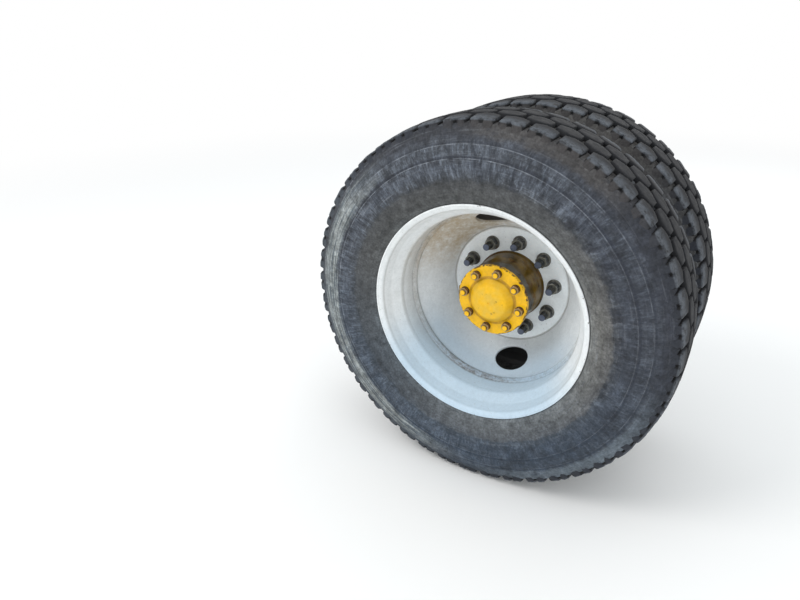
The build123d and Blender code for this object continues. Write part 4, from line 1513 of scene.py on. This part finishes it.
class WHEELEND_OT_drum(bpy.types.Operator):
    """Build the brake drum with its rounded shoulder and stiff open edge"""

    bl_idname = "wheel_end.drum"
    bl_label = "Brake Drum"

    def execute(self, context):
        sizes = context.scene.wheel_end_drum
        inside, outside = sizes.inside, sizes.inside + sizes.wall
        band, band_edge = DRUM_OPEN_Y - sizes.band_width, inside + sizes.band_wall
        pilot, bell, bell_end = 0.1105, 0.1720, DRUM_Y + 0.064
        shape = Shape()
        shape.turn(rounded_line([
            (pilot, DRUM_Y, 0.001), (bell, DRUM_Y, 0.012), (outside, bell_end, 0.030),
            (outside, band, 0.008), (band_edge, band, 0.006), (band_edge, DRUM_OPEN_Y, 0.003),
            (inside, DRUM_OPEN_Y, 0.002), (inside, bell_end, 0.020),
            (bell - 0.0065, DRUM_Y + sizes.face_wall, 0.010),
            (pilot, DRUM_Y + sizes.face_wall, 0.001),
        ], closed=True, turn=radians(8)), ring=240)
        finish_piece(shape.made("brake_drum_casting"), "wheel", "drum_iron", "brake_drum")
        return {"FINISHED"}


class WHEELEND_OT_axle(bpy.types.Operator):
    """Soften the axle tube, brake spider, shields and their bolts, and paint the valves"""

    bl_idname = "wheel_end.axle"
    bl_label = "Axle End"

    def execute(self, context):
        for node, width, slot in (
            ("axle_tube", 0.0012, "axle_black"), ("brake_spider", 0.0020, "axle_black"),
            ("upper_dust_shield", 0.0007, "shield_zinc"),
            ("lower_dust_shield", 0.0007, "shield_zinc"),
            ("spider_bolts", 0.0008, "dark_steel"), ("shield_bolts", 0.0006, "dark_steel"),
        ):
            finish_piece(softened_copy(node, width), "axle", slot, node)
        finish_piece(softened_copy("valve_stems", 0.0004), "wheel", "valve_brass", "valve_stems")
        return {"FINISHED"}


class WHEELEND_OT_stage(bpy.types.Operator):
    """Set the floor, the soft lights, the white surroundings and the camera"""

    bl_idname = "wheel_end.stage"
    bl_label = "Stage"

    def execute(self, context):
        scene = context.scene
        scene.view_settings.view_transform = "Standard"
        make_floor()
        make_world(scene)
        for name, place, size, power in (
            ("key_light", (-2.4, -3.4, 3.6), 2.4, 85.0),
            ("side_light", (3.4, -2.6, 1.8), 3.0, 16.0),
            ("back_light", (0.6, 3.6, 2.6), 3.0, 30.0),
        ):
            lamp = bpy.data.lights.new(name, "AREA")
            lamp.shape = "DISK"
            lamp.size = size
            lamp.energy = power
            light = bpy.data.objects.new(name, lamp)
            light.location = place
            aim = Vector((0, TWIN_Y, 0)) - Vector(place)
            light.rotation_euler = aim.to_track_quat("-Z", "Y").to_euler()
            scene.collection.objects.link(light)
        make_camera(scene)
        return {"FINISHED"}


def make_floor():
    """Pale floor that the tyres stand on, which takes their shadow and fades to white far off."""
    ground = -bpy.context.scene.wheel_end_tyre.tread_radius - 0.0004
    mesh = bpy.data.meshes.new("floor")
    reach = 60.0
    mesh.from_pydata([(-reach, -reach, ground), (reach, -reach, ground), (reach, reach, ground),
                      (-reach, reach, ground)], [], [(0, 1, 2, 3)])
    floor = bpy.data.objects.new("floor", mesh)
    bpy.context.scene.collection.objects.link(floor)
    tree = Finish("pale_floor")
    for socket, value in (("Base Color", (0.97, 0.945, 0.92)), ("Roughness", 0.95),
                          ("Specular IOR Level", 0.1)):
        tree.put(tree.shader.inputs[socket], value)
    place = tree.add("ShaderNodeTexCoord").outputs["Object"]
    away = tree.add("ShaderNodeVectorMath", {"operation": "LENGTH"}, Vector=place)
    white = tree.add("ShaderNodeEmission", Color=(1.0, 1.0, 1.0, 1.0), Strength=1.0)
    blend = tree.add("ShaderNodeMixShader", Fac=tree.fade(away.outputs["Value"], 2.2, 7.0))
    tree.put(blend.inputs[1], tree.shader.outputs[0])
    tree.put(blend.inputs[2], white.outputs[0])
    tree.put(tree.surface, blend.outputs[0])
    mesh.materials.append(tree.material)


def make_world(scene):
    """Even cool light from all round, which shows plain white where the camera sees it."""
    world = bpy.data.worlds.new("soft_daylight")
    world.use_nodes = True
    world.node_tree.nodes.clear()
    tree = Tree(world.node_tree)
    paths = tree.add("ShaderNodeLightPath").outputs
    seen = tree.math("MAXIMUM", paths["Is Camera Ray"],
                     tree.math("MAXIMUM", paths["Is Glossy Ray"], paths["Is Transmission Ray"]))
    strength = tree.add("ShaderNodeMapRange", Value=seen, To_Min=0.95, To_Max=1.0).outputs[0]
    tint = tree.mix(seen, (0.90, 0.96, 1.0, 1.0), (1.0, 1.0, 1.0, 1.0))
    sky = tree.add("ShaderNodeBackground", Color=tint, Strength=strength)
    tree.put(tree.add("ShaderNodeOutputWorld").inputs["Surface"], sky.outputs[0])
    scene.world = world


def make_camera(scene):
    """Camera as the photograph was taken: place, turn, fall and tilt, on a 36 mm sensor."""
    lens = bpy.data.cameras.new("camera")
    lens.sensor_width = 36.0
    lens.lens = 27.3
    camera = bpy.data.objects.new("camera", lens)
    turn, fall, tilt = radians(31.62), radians(24.62), radians(-0.86)
    camera.matrix_world = (
        Matrix.Translation((0.6252, -2.1629, 0.7555))
        @ Matrix.Rotation(turn, 4, "Z")
        @ Matrix.Rotation(pi / 2 - fall, 4, "X")
        @ Matrix.Rotation(tilt, 4, "Z")
    )
    scene.collection.objects.link(camera)
    scene.camera = camera


OPERATORS = (
    WHEELEND_OT_materials, WHEELEND_OT_stage, WHEELEND_OT_tyres, WHEELEND_OT_wheels,
    WHEELEND_OT_hub, WHEELEND_OT_shaft, WHEELEND_OT_wheel_nuts, WHEELEND_OT_flange_nuts,
    WHEELEND_OT_drum, WHEELEND_OT_axle,
)


class WHEELEND_PT_panel(bpy.types.Panel):
    """Sizes, colours and the operators that build each group of pieces"""

    bl_idname = "WHEELEND_PT_panel"
    bl_label = "Truck Twin Wheel End"
    bl_space_type = "VIEW_3D"
    bl_region_type = "UI"
    bl_category = "Wheel End"

    def draw(self, context):
        for operator in OPERATORS:
            self.layout.operator(operator.bl_idname)
        for name, group in GROUPS.items():
            box = self.layout.box()
            for setting in group.__annotations__:
                box.prop(getattr(context.scene, name), setting)


def register():
    for group in GROUPS.values():
        bpy.utils.register_class(group)
    for operator in OPERATORS:
        bpy.utils.register_class(operator)
    bpy.utils.register_class(WHEELEND_PT_panel)
    for name, group in GROUPS.items():
        setattr(bpy.types.Scene, name, PointerProperty(type=group))


def unregister():
    for name in GROUPS:
        delattr(bpy.types.Scene, name)
    bpy.utils.unregister_class(WHEELEND_PT_panel)
    for operator in reversed(OPERATORS):
        bpy.utils.unregister_class(operator)
    for group in reversed(list(GROUPS.values())):
        bpy.utils.unregister_class(group)


def main():
    """Builds everything."""
    register()
    for operator in OPERATORS:
        family, name = operator.bl_idname.split(".")
        getattr(getattr(bpy.ops, family), name)()


if __name__ == "__main__":
    main()
